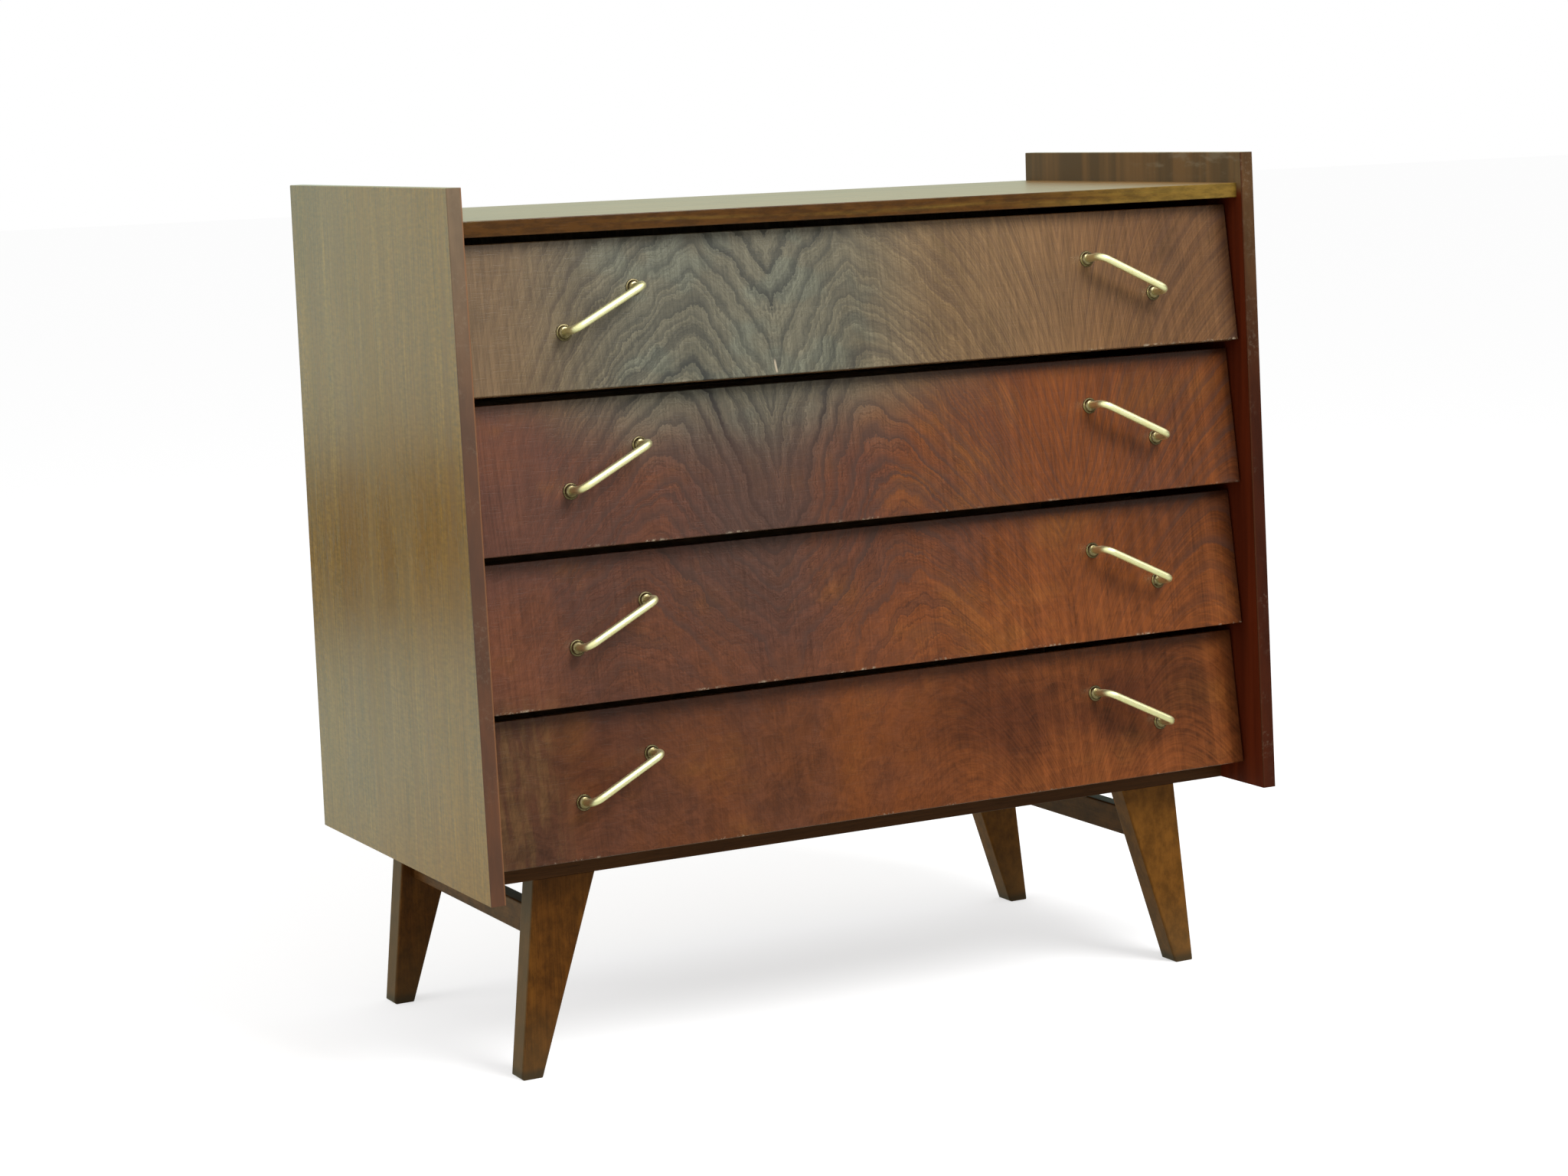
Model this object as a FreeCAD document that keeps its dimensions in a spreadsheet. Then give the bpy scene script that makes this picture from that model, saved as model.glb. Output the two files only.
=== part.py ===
import FreeCAD, Part
import math
import os
import re
import Sketcher
from FreeCAD import Vector

# A chest of four drawers with leaning fronts, between two boards that rise above its top.
# The frame: x runs across, -y is the front, z is up from the floor, the origin is midway under it.

# Driving sizes, in millimetres and degrees
SIZES = {
    # the case
    "carcass_width": 950,
    "carcass_depth": 466,
    "panel_top_depth": 437,
    "panel_height": 703,
    "panel_thick": 16,
    "panel_round": 1,
    "upstand": 33,
    "top_thick": 16,
    "top_setback": 8,
    "bottom_thick": 16,
    "bottom_setback": 81,
    "back_thick": 4,
    "back_lap": 8,
    # tongues that join the top and the bottom to the sides
    "tongue_thick": 8,
    "tongue_length": 8,
    "tongue_stop": 20,
    # legs and the rails between them
    "leg_height": 207,
    "leg_thick": 28,
    "leg_top_width": 69.5,
    "leg_foot_width": 24,
    "leg_top_inset": 80.8,
    "leg_foot_inset": 58.6,
    "leg_round": 2.5,
    "rear_leg_setback": 5,
    "rail_height": 32,
    "rail_thick": 19,
    "rail_drop": 35,
    "rail_inset": 89,
    "rail_round": 2,
    "tenon_length": 15,
    "tenon_shoulder": 5,
    # drawer fronts and the gaps around them
    "front_tilt": 9,
    "front_thick": 16,
    "front_round": 1.2,
    "front_top_depth": 408.5,
    "end_gap": 2,
    "top_gap": 7.5,
    "drawer_gap": 10.5,
    "bottom_gap": 9,
    # drawer boxes
    "box_rise": 12,
    "box_height": 112,
    "box_side_thick": 14,
    "box_back_thick": 12,
    "box_back_lap": 4,
    "box_back_inset": 10,
    "box_back_drop": 6,
    "box_rear_gap": 18,
    "box_bottom_thick": 4,
    "box_bottom_rise": 8,
    "box_bottom_lap": 5,
    "tail_depth": 10,
    # runners
    "runner_thick": 9,
    "runner_height": 16,
    "runner_rise": 48,
    "runner_setback": 3,
    "runner_rear_gap": 8,
    "slide_gap": 0.3,
    "groove_gap": 1,
    # handles
    "handle_centres": 90.5,
    "handle_slope": 26.6,
    "handle_from_end": 146.5,
    "handle_rise": 78,
    "handle_rod": 8,
    "handle_reach": 28,
    "handle_bend": 10,
    "rosette_width": 17,
    "rosette_height": 4.5,
    "rosette_rim": 1.5,
    # how far a cut runs past the wood
    "overrun": 1,
}

# Counts, and the shares of one dovetail's pitch that its root and its tip take, and of a collar's width that
# its flat top takes
DRAWERS = 4
TAILS = 3
TAIL_ROOT_SHARE = 0.56
TAIL_TIP_SHARE = 0.74
DOME_WIDTH_SHARE = 0.72

# Lengths that follow from the driving sizes
DERIVED = {
    # the case
    "rear": "carcass_depth / 2",
    "half_inside": "carcass_width / 2 - panel_thick",
    "panel_top": "leg_height + panel_height",
    "top_face": "panel_top - upstand",
    "top_under": "top_face - top_thick",
    "floor_face": "leg_height + bottom_thick",
    "top_front": "rear - panel_top_depth + top_setback",
    "bottom_front": "bottom_setback - rear",
    "back_low": "floor_face - back_lap",
    "back_high": "top_under + back_lap",
    # legs
    "leg_top_outer": "carcass_width / 2 - leg_top_inset",
    "leg_foot_outer": "carcass_width / 2 - leg_foot_inset",
    "rear_leg_back": "rear - rear_leg_setback",
    "leg_run": "rear_leg_back - leg_thick - bottom_front",
    "rail_outer": "carcass_width / 2 - rail_inset",
    "rail_middle": "rail_outer - rail_thick / 2",
    "rail_top": "leg_height - rail_drop",
    "rail_level": "rail_top - rail_height / 2",
    # drawer fronts: the lip is the lower front edge, where each drawer's own frame starts
    "gaps": f"top_gap + bottom_gap + {DRAWERS - 1} * drawer_gap",
    "front_height": f"(top_under - floor_face - gaps) / {DRAWERS}",
    "pitch": "front_height + drawer_gap",
    "front_slope": "front_height / cos(front_tilt)",
    "front_half": "half_inside - end_gap",
    "lip": "rear - front_top_depth - front_height * tan(front_tilt)",
    "lowest_lip": "floor_face + bottom_gap",
    # drawer boxes, from the lip
    "box_top": "box_rise + box_height",
    "box_end": "rear - back_thick - box_rear_gap - lip",
    "box_back_rear": "box_end - box_back_inset",
    "box_back_front": "box_back_rear - box_back_thick",
    "box_inside": "front_half - box_side_thick",
    "box_bottom_low": "box_rise + box_bottom_rise",
    "box_bottom_high": "box_bottom_low + box_bottom_thick",
    "box_bottom_front": "box_bottom_low * tan(front_tilt) + front_thick / cos(front_tilt) - box_bottom_lap",
    "box_bottom_half": "box_inside + box_bottom_lap",
    "tail_start": "(box_rise + front_thick * sin(front_tilt)) / cos(front_tilt)",
    "tail_pitch": f"box_height / cos(front_tilt) / {TAILS}",
    # runners, from the lip
    "runner_low": "box_rise + runner_rise",
    "runner_high": "runner_low + runner_height",
    "groove_start": "(runner_high + slide_gap) * tan(front_tilt) + front_thick / cos(front_tilt)",
    "runner_start": "groove_start + runner_setback",
    "runner_end": "rear - back_thick - runner_rear_gap - lip",
    "groove_depth": "runner_thick - end_gap + groove_gap",
    # handles, on the sloping face
    "handle_middle": "front_half - handle_from_end",
    "handle_across": "handle_centres / 2 * cos(handle_slope)",
    "handle_up": "handle_centres / 2 * sin(handle_slope)",
}

# The front edge, the underside and the thickness of the two boards between the sides
TOP_BOARD = ("top_front", "top_under", "top_thick")
BOTTOM_BOARD = ("bottom_front", "leg_height", "bottom_thick")

doc = FreeCAD.newDocument("chest")
sizes = doc.addObject("Spreadsheet::Sheet", "sizes")
for row, (name, size) in enumerate(SIZES.items(), start=1):
    sizes.set(f"A{row}", name)
    sizes.set(f"B{row}", str(size))
    sizes.setAlias(f"B{row}", name)
doc.recompute()

pieces = []


def bind(text):
    """Write a sum of named lengths as an expression on the sheet."""
    def swap(word):
        name = word.group()
        if name in DERIVED:
            return f"({bind(DERIVED[name])})"
        return f"sizes.{name}" if name in SIZES else name
    return re.sub(r"[a-z_]+", swap, str(text))


def value(text):
    """The number that a sum of named lengths has now."""
    return float(sizes.evalExpression(bind(text)))


def new_body(label, place=None):
    """Start one piece of the chest; the place is a sum of named lengths."""
    body = doc.addObject("PartDesign::Body", label)
    body.Label = label
    if place:
        body.setExpression("Placement", bind(place))
    pieces.append(body)
    return body


def origin_feature(body, role):
    """One of a piece's own planes or axes."""
    return next(feature for feature in body.Origin.OriginFeatures if feature.Role == role)


def new_sketch(body, plane, along="0", out="0"):
    """A sketch on one of a piece's own planes, moved along its x and off the plane."""
    sketch = body.newObject("Sketcher::SketchObject", "sketch")
    sketch.AttachmentSupport = [(origin_feature(body, plane), "")]
    sketch.MapMode = "FlatFace"
    shift = f"vector({along}; 0; {out})"
    sketch.setExpression("AttachmentOffset", bind(f"placement({shift}; rotation(vector(1; 0; 0); 0))"))
    return sketch


def hold(sketch, kind, text, *place):
    """Set one dimension of a sketch to a sum of named lengths."""
    index = sketch.addConstraint(Sketcher.Constraint(kind, *place, value(text)))
    sketch.setExpression(f"Constraints[{index}]", bind(text))


def pin(sketch, line, end, x, y):
    """Hold one end of a line, or the centre of a circle, at its two distances from the origin."""
    hold(sketch, "DistanceX", x, -1, 1, line, end)
    hold(sketch, "DistanceY", y, -1, 1, line, end)


def polygon(sketch, points):
    """Draw a closed outline through points that are named lengths."""
    first = sketch.GeometryCount
    spots = [Vector(value(x), value(y), 0) for x, y in points]
    for here, there in zip(spots, spots[1:] + spots[:1]):
        sketch.addGeometry(Part.LineSegment(here, there))
    for k, (x, y) in enumerate(points):
        following = first + (k + 1) % len(points)
        sketch.addConstraint(Sketcher.Constraint("Coincident", first + k, 2, following, 1))
        pin(sketch, first + k, 1, x, y)


def rectangle(sketch, left, right, low, high):
    """Draw a rectangle between named lengths."""
    polygon(sketch, [(left, low), (right, low), (right, high), (left, high)])


def circle(sketch, x, y, width):
    """Draw a circle of a named width."""
    radius = f"({width}) / 2"
    middle = Vector(value(x), value(y), 0)
    index = sketch.addGeometry(Part.Circle(middle, Vector(0, 0, 1), value(radius)))
    pin(sketch, index, 3, x, y)
    hold(sketch, "Radius", radius, index)


def pad(body, sketch, length, reverse=False, middle=False):
    """Raise a sketch into wood."""
    feature = body.newObject("PartDesign::Pad", "pad")
    feature.Profile = sketch
    feature.setExpression("Length", bind(length))
    feature.Reversed = reverse
    feature.SideType = "Symmetric" if middle else "One side"
    doc.recompute()
    return feature


def pocket(body, sketch, depth, reverse=False, middle=False):
    """Cut a sketch into a piece, and stop if the cut pointed away from the wood."""
    before = body.Shape.Volume
    feature = body.newObject("PartDesign::Pocket", "cut")
    feature.Profile = sketch
    feature.setExpression("Length", bind(depth))
    feature.Reversed = reverse
    feature.SideType = "Symmetric" if middle else "One side"
    doc.recompute()
    if not body.Shape.Volume < before:
        raise ValueError(f"a cut in {body.Label} took nothing away")
    return feature


def spun(body, sketch):
    """Turn a profile about the upright axis of its own sketch."""
    feature = body.newObject("PartDesign::Revolution", "turned")
    feature.Profile = sketch
    feature.ReferenceAxis = (sketch, ["V_Axis"])
    feature.Angle = 360
    doc.recompute()
    return feature


def round_edges(body, feature, radius, picked):
    """Round the edges of a feature that the test picks."""
    names = [f"Edge{k}" for k, edge in enumerate(feature.Shape.Edges, start=1) if picked(edge)]
    rounding = body.newObject("PartDesign::Fillet", "rounding")
    rounding.Base = (feature, names)
    rounding.setExpression("Radius", bind(radius))
    doc.recompute()


def mirror(body, features):
    """Copy features across the middle of the chest."""
    copies = body.newObject("PartDesign::Mirrored", "mirror")
    copies.Originals = features
    copies.MirrorPlane = (origin_feature(body, "YZ_Plane"), [""])
    body.Tip = copies
    doc.recompute()


def drawer_level(number):
    """The height of a drawer's lip, counting drawers from the top."""
    return f"lowest_lip + {DRAWERS - number} * pitch"


def drawer_frame(number):
    """The place of a drawer's own frame, at its lip."""
    return f"placement(vector(0; lip; {drawer_level(number)}); rotation(vector(1; 0; 0); 0))"


def face_frame(number):
    """The place of a drawer's sloping face: x across, y up the slope, z out of the wood."""
    tilt = "rotation(vector(1; 0; 0); 90 - front_tilt)"
    return f"placement(vector(0; lip; {drawer_level(number)}); {tilt})"


def on_slope(along, out):
    """A point beside the sloping face, by its distance up the slope and out of the wood."""
    y = f"({along}) * sin(front_tilt) - ({out}) * cos(front_tilt)"
    z = f"({along}) * cos(front_tilt) + ({out}) * sin(front_tilt)"
    return y, z


def behind_front(height):
    """How far behind the lip the inner face of a drawer front is at a height."""
    return f"({height}) * tan(front_tilt) + front_thick / cos(front_tilt)"


def tongue_section(front, low, thick):
    """The edges of a board's tongue, seen from its end: front, rear, low and high."""
    lowest = f"{low} + ({thick} - tongue_thick) / 2"
    return f"{front} + tongue_stop", "rear - tongue_stop", lowest, f"{lowest} + tongue_thick"


def side_panel(label, side):
    """A side board: its front edge leans, and it stands above the top like a low gallery."""
    body = new_body(label)
    inner = f"{side} * half_inside"
    sketch = new_sketch(body, "YZ_Plane", out=inner)
    polygon(sketch, [
        ("rear", "leg_height"),
        ("rear", "panel_top"),
        ("rear - panel_top_depth", "panel_top"),
        ("-rear", "leg_height"),
    ])
    board = pad(body, sketch, "panel_thick", reverse=side < 0)
    rear, low, flat = value("rear"), value("leg_height"), value("panel_round")

    def shows(edge):
        middle = edge.CenterOfMass
        return edge.BoundBox.XLength < flat and middle.y < rear - flat and middle.z > low + flat

    round_edges(body, board, "panel_round", shows)

    # the rebate for the back
    sketch = new_sketch(body, "XY_Plane", out="back_low")
    rectangle(sketch, inner, f"{side} * (half_inside + back_lap)", "rear - back_thick", "rear + overrun")
    pocket(body, sketch, "back_high - back_low", reverse=True)

    # stopped grooves for the tongues of the top and the bottom
    sketch = new_sketch(body, "YZ_Plane", out=inner)
    for board in (TOP_BOARD, BOTTOM_BOARD):
        rectangle(sketch, *tongue_section(*board))
    pocket(body, sketch, "tongue_length", reverse=side > 0)


def case_board(label, board, rebate_low, rebate_high):
    """The top or the bottom: a board between the sides, with a tongue at each end, rebated behind."""
    body = new_body(label)
    front, low, thick = board
    sketch = new_sketch(body, "XY_Plane", out=low)
    rectangle(sketch, "-half_inside", "half_inside", front, "rear")
    blank = pad(body, sketch, thick)
    edge_y, flat = value(front), value("panel_round")

    def shows(edge):
        along_x = edge.BoundBox.XLength > edge.BoundBox.ZLength
        return along_x and abs(edge.CenterOfMass.y - edge_y) < flat

    round_edges(body, blank, "panel_round", shows)

    sketch = new_sketch(body, "YZ_Plane")
    rectangle(sketch, "rear - back_thick", "rear + overrun", rebate_low, rebate_high)
    pocket(body, sketch, "2 * half_inside", middle=True)
    sketch = new_sketch(body, "YZ_Plane")
    rectangle(sketch, *tongue_section(*board))
    pad(body, sketch, "2 * (half_inside + tongue_length)", middle=True)


def carcass():
    """The fixed case: two sides, a top and a bottom tongued between them, and a thin back."""
    side_panel("left_side_panel", -1)
    side_panel("right_side_panel", 1)
    case_board("top_panel", TOP_BOARD, "top_under - overrun", "back_high")
    case_board("bottom_panel", BOTTOM_BOARD, "back_low", "floor_face + overrun")

    back = new_body("back_panel")
    sketch = new_sketch(back, "XZ_Plane", out="-rear")
    rectangle(sketch, "-(half_inside + back_lap)", "half_inside + back_lap", "back_low", "back_high")
    pad(back, sketch, "back_thick")


def leg(label, side, rear):
    """A leg: a flat board that narrows to the foot while its outer edge splays."""
    body = new_body(label)
    face = "rear_leg_back - leg_thick" if rear else "bottom_front"
    sketch = new_sketch(body, "XZ_Plane", out=f"-({face})")
    outline = [
        ("leg_top_outer - leg_top_width", "leg_height"),
        ("leg_top_outer", "leg_height"),
        ("leg_foot_outer", "0"),
        ("leg_foot_outer - leg_foot_width", "0"),
    ]
    polygon(sketch, [(f"{side} * ({x})", z) for x, z in outline])
    board = pad(body, sketch, "leg_thick", reverse=True)

    def runs_down(edge):
        return edge.BoundBox.ZLength > edge.BoundBox.XLength

    round_edges(body, board, "leg_round", runs_down)

    # the mortise for the side rail, in the face towards the other leg
    mortise_face = face if rear else f"{face} + leg_thick"
    sketch = new_sketch(body, "XZ_Plane", out=f"-({mortise_face})")
    tenon_outline(sketch, side)
    pocket(body, sketch, "tenon_length", reverse=not rear)


def rail_outline(sketch, side, shoulder):
    """The section of a side rail, or of its tenon if it has a shoulder."""
    half_thick = f"(rail_thick / 2 - {shoulder})"
    half_height = f"(rail_height / 2 - {shoulder})"
    middle = f"{side} * rail_middle"
    rectangle(sketch, f"{middle} - {half_thick}", f"{middle} + {half_thick}",
              f"rail_level - {half_height}", f"rail_level + {half_height}")


def tenon_outline(sketch, side):
    """The section of a tenon, and of the mortise that it fills."""
    rail_outline(sketch, side, "tenon_shoulder")


def side_rail(label, side):
    """A stretcher between the front and rear legs of one side, with a stub tenon at each end."""
    body = new_body(label)
    front = "(bottom_front + leg_thick)"
    length = "(leg_run - leg_thick)"
    middle = f"-({front} + {length} / 2)"
    sketch = new_sketch(body, "XZ_Plane", out=middle)
    rail_outline(sketch, side, "0")
    bar = pad(body, sketch, length, middle=True)

    def runs_back(edge):
        return edge.BoundBox.YLength > edge.BoundBox.ZLength + edge.BoundBox.XLength

    round_edges(body, bar, "rail_round", runs_back)
    sketch = new_sketch(body, "XZ_Plane", out=middle)
    tenon_outline(sketch, side)
    pad(body, sketch, f"{length} + 2 * tenon_length", middle=True)


def base():
    """Four legs in two pairs under the bottom board, each pair tied by a rail."""
    for name, side in (("left", -1), ("right", 1)):
        leg(f"front_{name}_leg", side, rear=False)
        leg(f"rear_{name}_leg", side, rear=True)
        side_rail(f"{name}_side_rail", side)


def runner(label, side, number):
    """A hardwood strip on a side board, which a drawer hangs and slides on."""
    body = new_body(label, drawer_frame(number))
    sketch = new_sketch(body, "YZ_Plane", out=f"{side} * half_inside")
    rectangle(sketch, "runner_start", "runner_end", "runner_low", "runner_high")
    pad(body, sketch, "runner_thick", reverse=side > 0)


def runners():
    """A pair of runners for each drawer."""
    for number in range(1, DRAWERS + 1):
        runner(f"runner_left_{number}", -1, number)
        runner(f"runner_right_{number}", 1, number)


def tail_points(k):
    """The four corners of one dovetail, from its upper root round its tip to its lower root."""
    middle = f"tail_start + {k + 0.5} * tail_pitch"
    root = f"{TAIL_ROOT_SHARE} * tail_pitch / 2"
    tip = f"{TAIL_TIP_SHARE} * tail_pitch / 2"
    inner = "-front_thick"
    end = "tail_depth - front_thick"
    return [
        on_slope(f"{middle} + {root}", inner),
        on_slope(f"{middle} + {tip}", end),
        on_slope(f"{middle} - {tip}", end),
        on_slope(f"{middle} - {root}", inner),
    ]


def handle_feet():
    """Where the right-hand handle's two feet stand on the sloping face."""
    return [
        ("handle_middle + handle_across", "handle_rise - handle_up"),
        ("handle_middle - handle_across", "handle_rise + handle_up"),
    ]


def drawer_front(number):
    """A drawer front: a leaning board with lapped dovetail sockets and a groove for the bottom."""
    body = new_body(f"drawer_{number}_front", drawer_frame(number))
    sketch = new_sketch(body, "YZ_Plane")
    polygon(sketch, [
        on_slope("0", "0"),
        on_slope("0", "-front_thick"),
        on_slope("front_slope", "-front_thick"),
        on_slope("front_slope", "0"),
    ])
    board = pad(body, sketch, "2 * front_half", middle=True)
    tilt, flat = math.radians(value("front_tilt")), value("front_round")

    def on_face(edge):
        return all(abs(v.Y * math.cos(tilt) - v.Z * math.sin(tilt)) < flat for v in edge.Vertexes)

    round_edges(body, board, "front_round", on_face)

    # sockets for the tails of the two sides
    sketch = new_sketch(body, "YZ_Plane", out="front_half")
    for k in range(TAILS):
        polygon(sketch, tail_points(k))
    sockets = pocket(body, sketch, "box_side_thick")
    mirror(body, [sockets])

    # the groove for the drawer's bottom
    sketch = new_sketch(body, "YZ_Plane")
    groove_end = f"{behind_front('box_bottom_high')} + overrun"
    rectangle(sketch, "box_bottom_front", groove_end, "box_bottom_low", "box_bottom_high")
    pocket(body, sketch, "2 * box_bottom_half", middle=True)


def drawer_side(label, side, number):
    """A drawer side: dovetailed in front, grooved outside for its runner, inside for back and bottom."""
    body = new_body(label, drawer_frame(number))
    outer = f"{side} * front_half"
    inner = f"{side} * box_inside"
    points = [
        ("box_end", "box_rise"),
        ("box_end", "box_top"),
        (behind_front("box_top"), "box_top"),
    ]
    for k in reversed(range(TAILS)):
        points += tail_points(k)
    points.append((behind_front("box_rise"), "box_rise"))
    sketch = new_sketch(body, "YZ_Plane", out=outer)
    polygon(sketch, points)
    pad(body, sketch, "box_side_thick", reverse=side > 0)

    # the runner's groove, open at the rear
    sketch = new_sketch(body, "YZ_Plane", out=outer)
    rectangle(sketch, "groove_start", "box_end + overrun",
              "runner_low - slide_gap", "runner_high + slide_gap")
    pocket(body, sketch, "groove_depth", reverse=side < 0)

    # the groove for the drawer's bottom, and the housing for its back
    sketch = new_sketch(body, "YZ_Plane", out=inner)
    rectangle(sketch, "0", "box_end + overrun", "box_bottom_low", "box_bottom_high")
    pocket(body, sketch, "box_bottom_lap", reverse=side > 0)
    sketch = new_sketch(body, "YZ_Plane", out=inner)
    rectangle(sketch, "box_back_front", "box_back_rear", "box_bottom_high", "box_top + overrun")
    pocket(body, sketch, "box_back_lap", reverse=side > 0)


def drawer_back(number):
    """A drawer back, housed in the sides and standing on the bottom."""
    body = new_body(f"drawer_{number}_back", drawer_frame(number))
    sketch = new_sketch(body, "YZ_Plane")
    rectangle(sketch, "box_back_front", "box_back_rear", "box_bottom_high", "box_top - box_back_drop")
    pad(body, sketch, "2 * (box_inside + box_back_lap)", middle=True)


def drawer_bottom(number):
    """A drawer bottom, slid into the grooves from behind."""
    body = new_body(f"drawer_{number}_bottom", drawer_frame(number))
    sketch = new_sketch(body, "YZ_Plane")
    rectangle(sketch, "box_bottom_front", "box_back_rear", "box_bottom_low", "box_bottom_high")
    pad(body, sketch, "2 * box_bottom_half", middle=True)


def handle(label, side, number):
    """A handle: one rod bent square at both ends, set at a slant across the drawer front."""
    slant = f"rotation(vector(0; 0; 1); {-side} * handle_slope)"
    middle = f"placement(vector({side} * handle_middle; handle_rise; 0); {slant})"
    body = new_body(label, f"{face_frame(number)} * {middle}")
    path = new_sketch(body, "XZ_Plane")
    half, bend, reach = (value(f) for f in ("handle_centres / 2", "handle_bend", "handle_reach"))
    foot = value("rosette_height")
    turn_left = Part.Circle(Vector(bend - half, reach - bend, 0), Vector(0, 0, 1), bend)
    turn_right = Part.Circle(Vector(half - bend, reach - bend, 0), Vector(0, 0, 1), bend)
    path.addGeometry([
        Part.LineSegment(Vector(-half, foot, 0), Vector(-half, reach - bend, 0)),
        Part.ArcOfCircle(turn_left, math.pi / 2, math.pi),
        Part.LineSegment(Vector(bend - half, reach, 0), Vector(half - bend, reach, 0)),
        Part.ArcOfCircle(turn_right, 0, math.pi / 2),
        Part.LineSegment(Vector(half, reach - bend, 0), Vector(half, foot, 0)),
    ])
    for joint in ((0, 2, 1, 2), (1, 1, 2, 1), (2, 2, 3, 2), (3, 1, 4, 1)):
        path.addConstraint(Sketcher.Constraint("Coincident", *joint))
    pin(path, 0, 1, "-handle_centres / 2", "rosette_height")
    pin(path, 0, 2, "-handle_centres / 2", "handle_reach - handle_bend")
    pin(path, 2, 1, "handle_bend - handle_centres / 2", "handle_reach")
    pin(path, 2, 2, "handle_centres / 2 - handle_bend", "handle_reach")
    pin(path, 4, 1, "handle_centres / 2", "handle_reach - handle_bend")
    pin(path, 4, 2, "handle_centres / 2", "rosette_height")
    hold(path, "Radius", "handle_bend", 1)
    hold(path, "Radius", "handle_bend", 3)
    section = new_sketch(body, "XY_Plane", out="rosette_height")
    circle(section, "-handle_centres / 2", "0", "handle_rod")
    doc.recompute()
    rod = body.newObject("PartDesign::AdditivePipe", "rod")
    rod.Profile = section
    rod.Spine = path
    doc.recompute()


def rosettes(number):
    """The four turned collars that the handles of a drawer stand on."""
    body = new_body(f"handle_rosettes_{number}", face_frame(number))
    rim = "rosette_width / 2"
    dome = f"{DOME_WIDTH_SHARE} * {rim}"
    turned = []
    for x, y in handle_feet():
        sketch = new_sketch(body, "XZ_Plane", along=x, out=f"-({y})")
        polygon(sketch, [
            ("0", "0"),
            (rim, "0"),
            (rim, "rosette_rim"),
            (dome, "rosette_height"),
            ("0", "rosette_height"),
        ])
        turned.append(spun(body, sketch))
    mirror(body, turned)


def drawers():
    """Four alike drawers, counted from the top."""
    for number in range(1, DRAWERS + 1):
        drawer_front(number)
        drawer_side(f"drawer_{number}_left_side", -1, number)
        drawer_side(f"drawer_{number}_right_side", 1, number)
        drawer_back(number)
        drawer_bottom(number)
        handle(f"handle_left_{number}", -1, number)
        handle(f"handle_right_{number}", 1, number)
        rosettes(number)


def check_and_write():
    """Stop at any failed feature or bad solid, then write each piece to its own file."""
    doc.recompute()
    for item in doc.Objects:
        if "Invalid" in item.State or "Error" in item.State:
            raise ValueError(f"{item.Label} failed: {item.State}")
    for body in pieces:
        if body.Shape.isNull() or not body.Shape.isValid():
            raise ValueError(f"{body.Label} has a bad shape")
    os.makedirs("parts", exist_ok=True)
    for body in pieces:
        body.Shape.exportStep(os.path.join("parts", f"{body.Label}.step"))
        print(f"{body.Label}: {len(body.Shape.Solids)} solids, {body.Shape.Volume:.0f} mm3")


carcass()
base()
runners()
drawers()
check_and_write()
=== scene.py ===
# %% [markdown]
# # A chest of four drawers with slanted brass handles
# The solid parts of the chest come from a imported CAD model, which is the fixed frame of this
# scene: every board keeps its place, and the scene adds the light, the finishes and the small
# turned and bent metal parts.

# %% Load the frame
import math

import bpy
from mathutils import Matrix, Vector


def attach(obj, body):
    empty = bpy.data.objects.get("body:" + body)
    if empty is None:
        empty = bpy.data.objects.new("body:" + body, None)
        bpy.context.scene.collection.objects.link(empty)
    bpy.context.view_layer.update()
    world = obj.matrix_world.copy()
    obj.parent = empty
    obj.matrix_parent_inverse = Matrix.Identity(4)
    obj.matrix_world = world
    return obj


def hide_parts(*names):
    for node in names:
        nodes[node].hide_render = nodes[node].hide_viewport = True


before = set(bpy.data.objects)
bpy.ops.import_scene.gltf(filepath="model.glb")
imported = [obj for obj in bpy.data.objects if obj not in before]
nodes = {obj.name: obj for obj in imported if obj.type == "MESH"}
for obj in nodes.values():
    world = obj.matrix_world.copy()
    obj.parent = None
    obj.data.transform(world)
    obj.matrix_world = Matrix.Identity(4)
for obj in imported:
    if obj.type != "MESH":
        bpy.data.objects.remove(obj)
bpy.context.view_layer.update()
print("boards and fittings in the frame:", len(nodes))

# %% [markdown]
# ## Camera
# The photograph was taken from the front left, a little above the top of the chest, with a long
# lens. The camera could be steered by eye, but its place, its three turns and its lens were
# worked out from the corners of the chest in the picture, so they are written down as numbers.
# The three axes of the camera are built one after the other from yaw, pitch and roll.

# %% Camera at the photograph's place
camera_place = Vector((-1.7025, -3.1836, 0.9837))
yaw, pitch, roll = (math.radians(turn) for turn in (27.942, -8.382, -1.934))

ahead = Vector((math.sin(yaw) * math.cos(pitch), math.cos(yaw) * math.cos(pitch), math.sin(pitch)))
level = Vector((math.cos(yaw), -math.sin(yaw), 0.0))
upright = level.cross(ahead)
sideways = math.cos(roll) * level + math.sin(roll) * upright
upwards = math.cos(roll) * upright - math.sin(roll) * level

bpy.ops.object.select_all(action="DESELECT")
bpy.ops.object.camera_add()
camera = bpy.context.object
camera.name = "camera"
camera.data.sensor_width = 36.0
camera.data.lens = 76.12
camera.data.clip_end = 100.0
turned = Matrix((sideways, upwards, -ahead)).transposed().to_4x4()
camera.matrix_world = Matrix.Translation(camera_place) @ turned
bpy.context.scene.camera = camera
bpy.context.scene.view_settings.view_transform = "Standard"
print("camera looks along", [round(c, 3) for c in ahead])

# %% [markdown]
# ## Small helpers for node trees
# Every finish below is a tree of shader nodes. Adding a node, setting its values and joining its
# sockets takes several lines each time, so a few short helpers do it. A value that is a socket
# is joined with a link, and any other value is written into the socket. A colour is given as red,
# green and blue, and the full alpha is added to it. A socket knows the tree that it is in, so most
# helpers find the tree by themselves.

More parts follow.
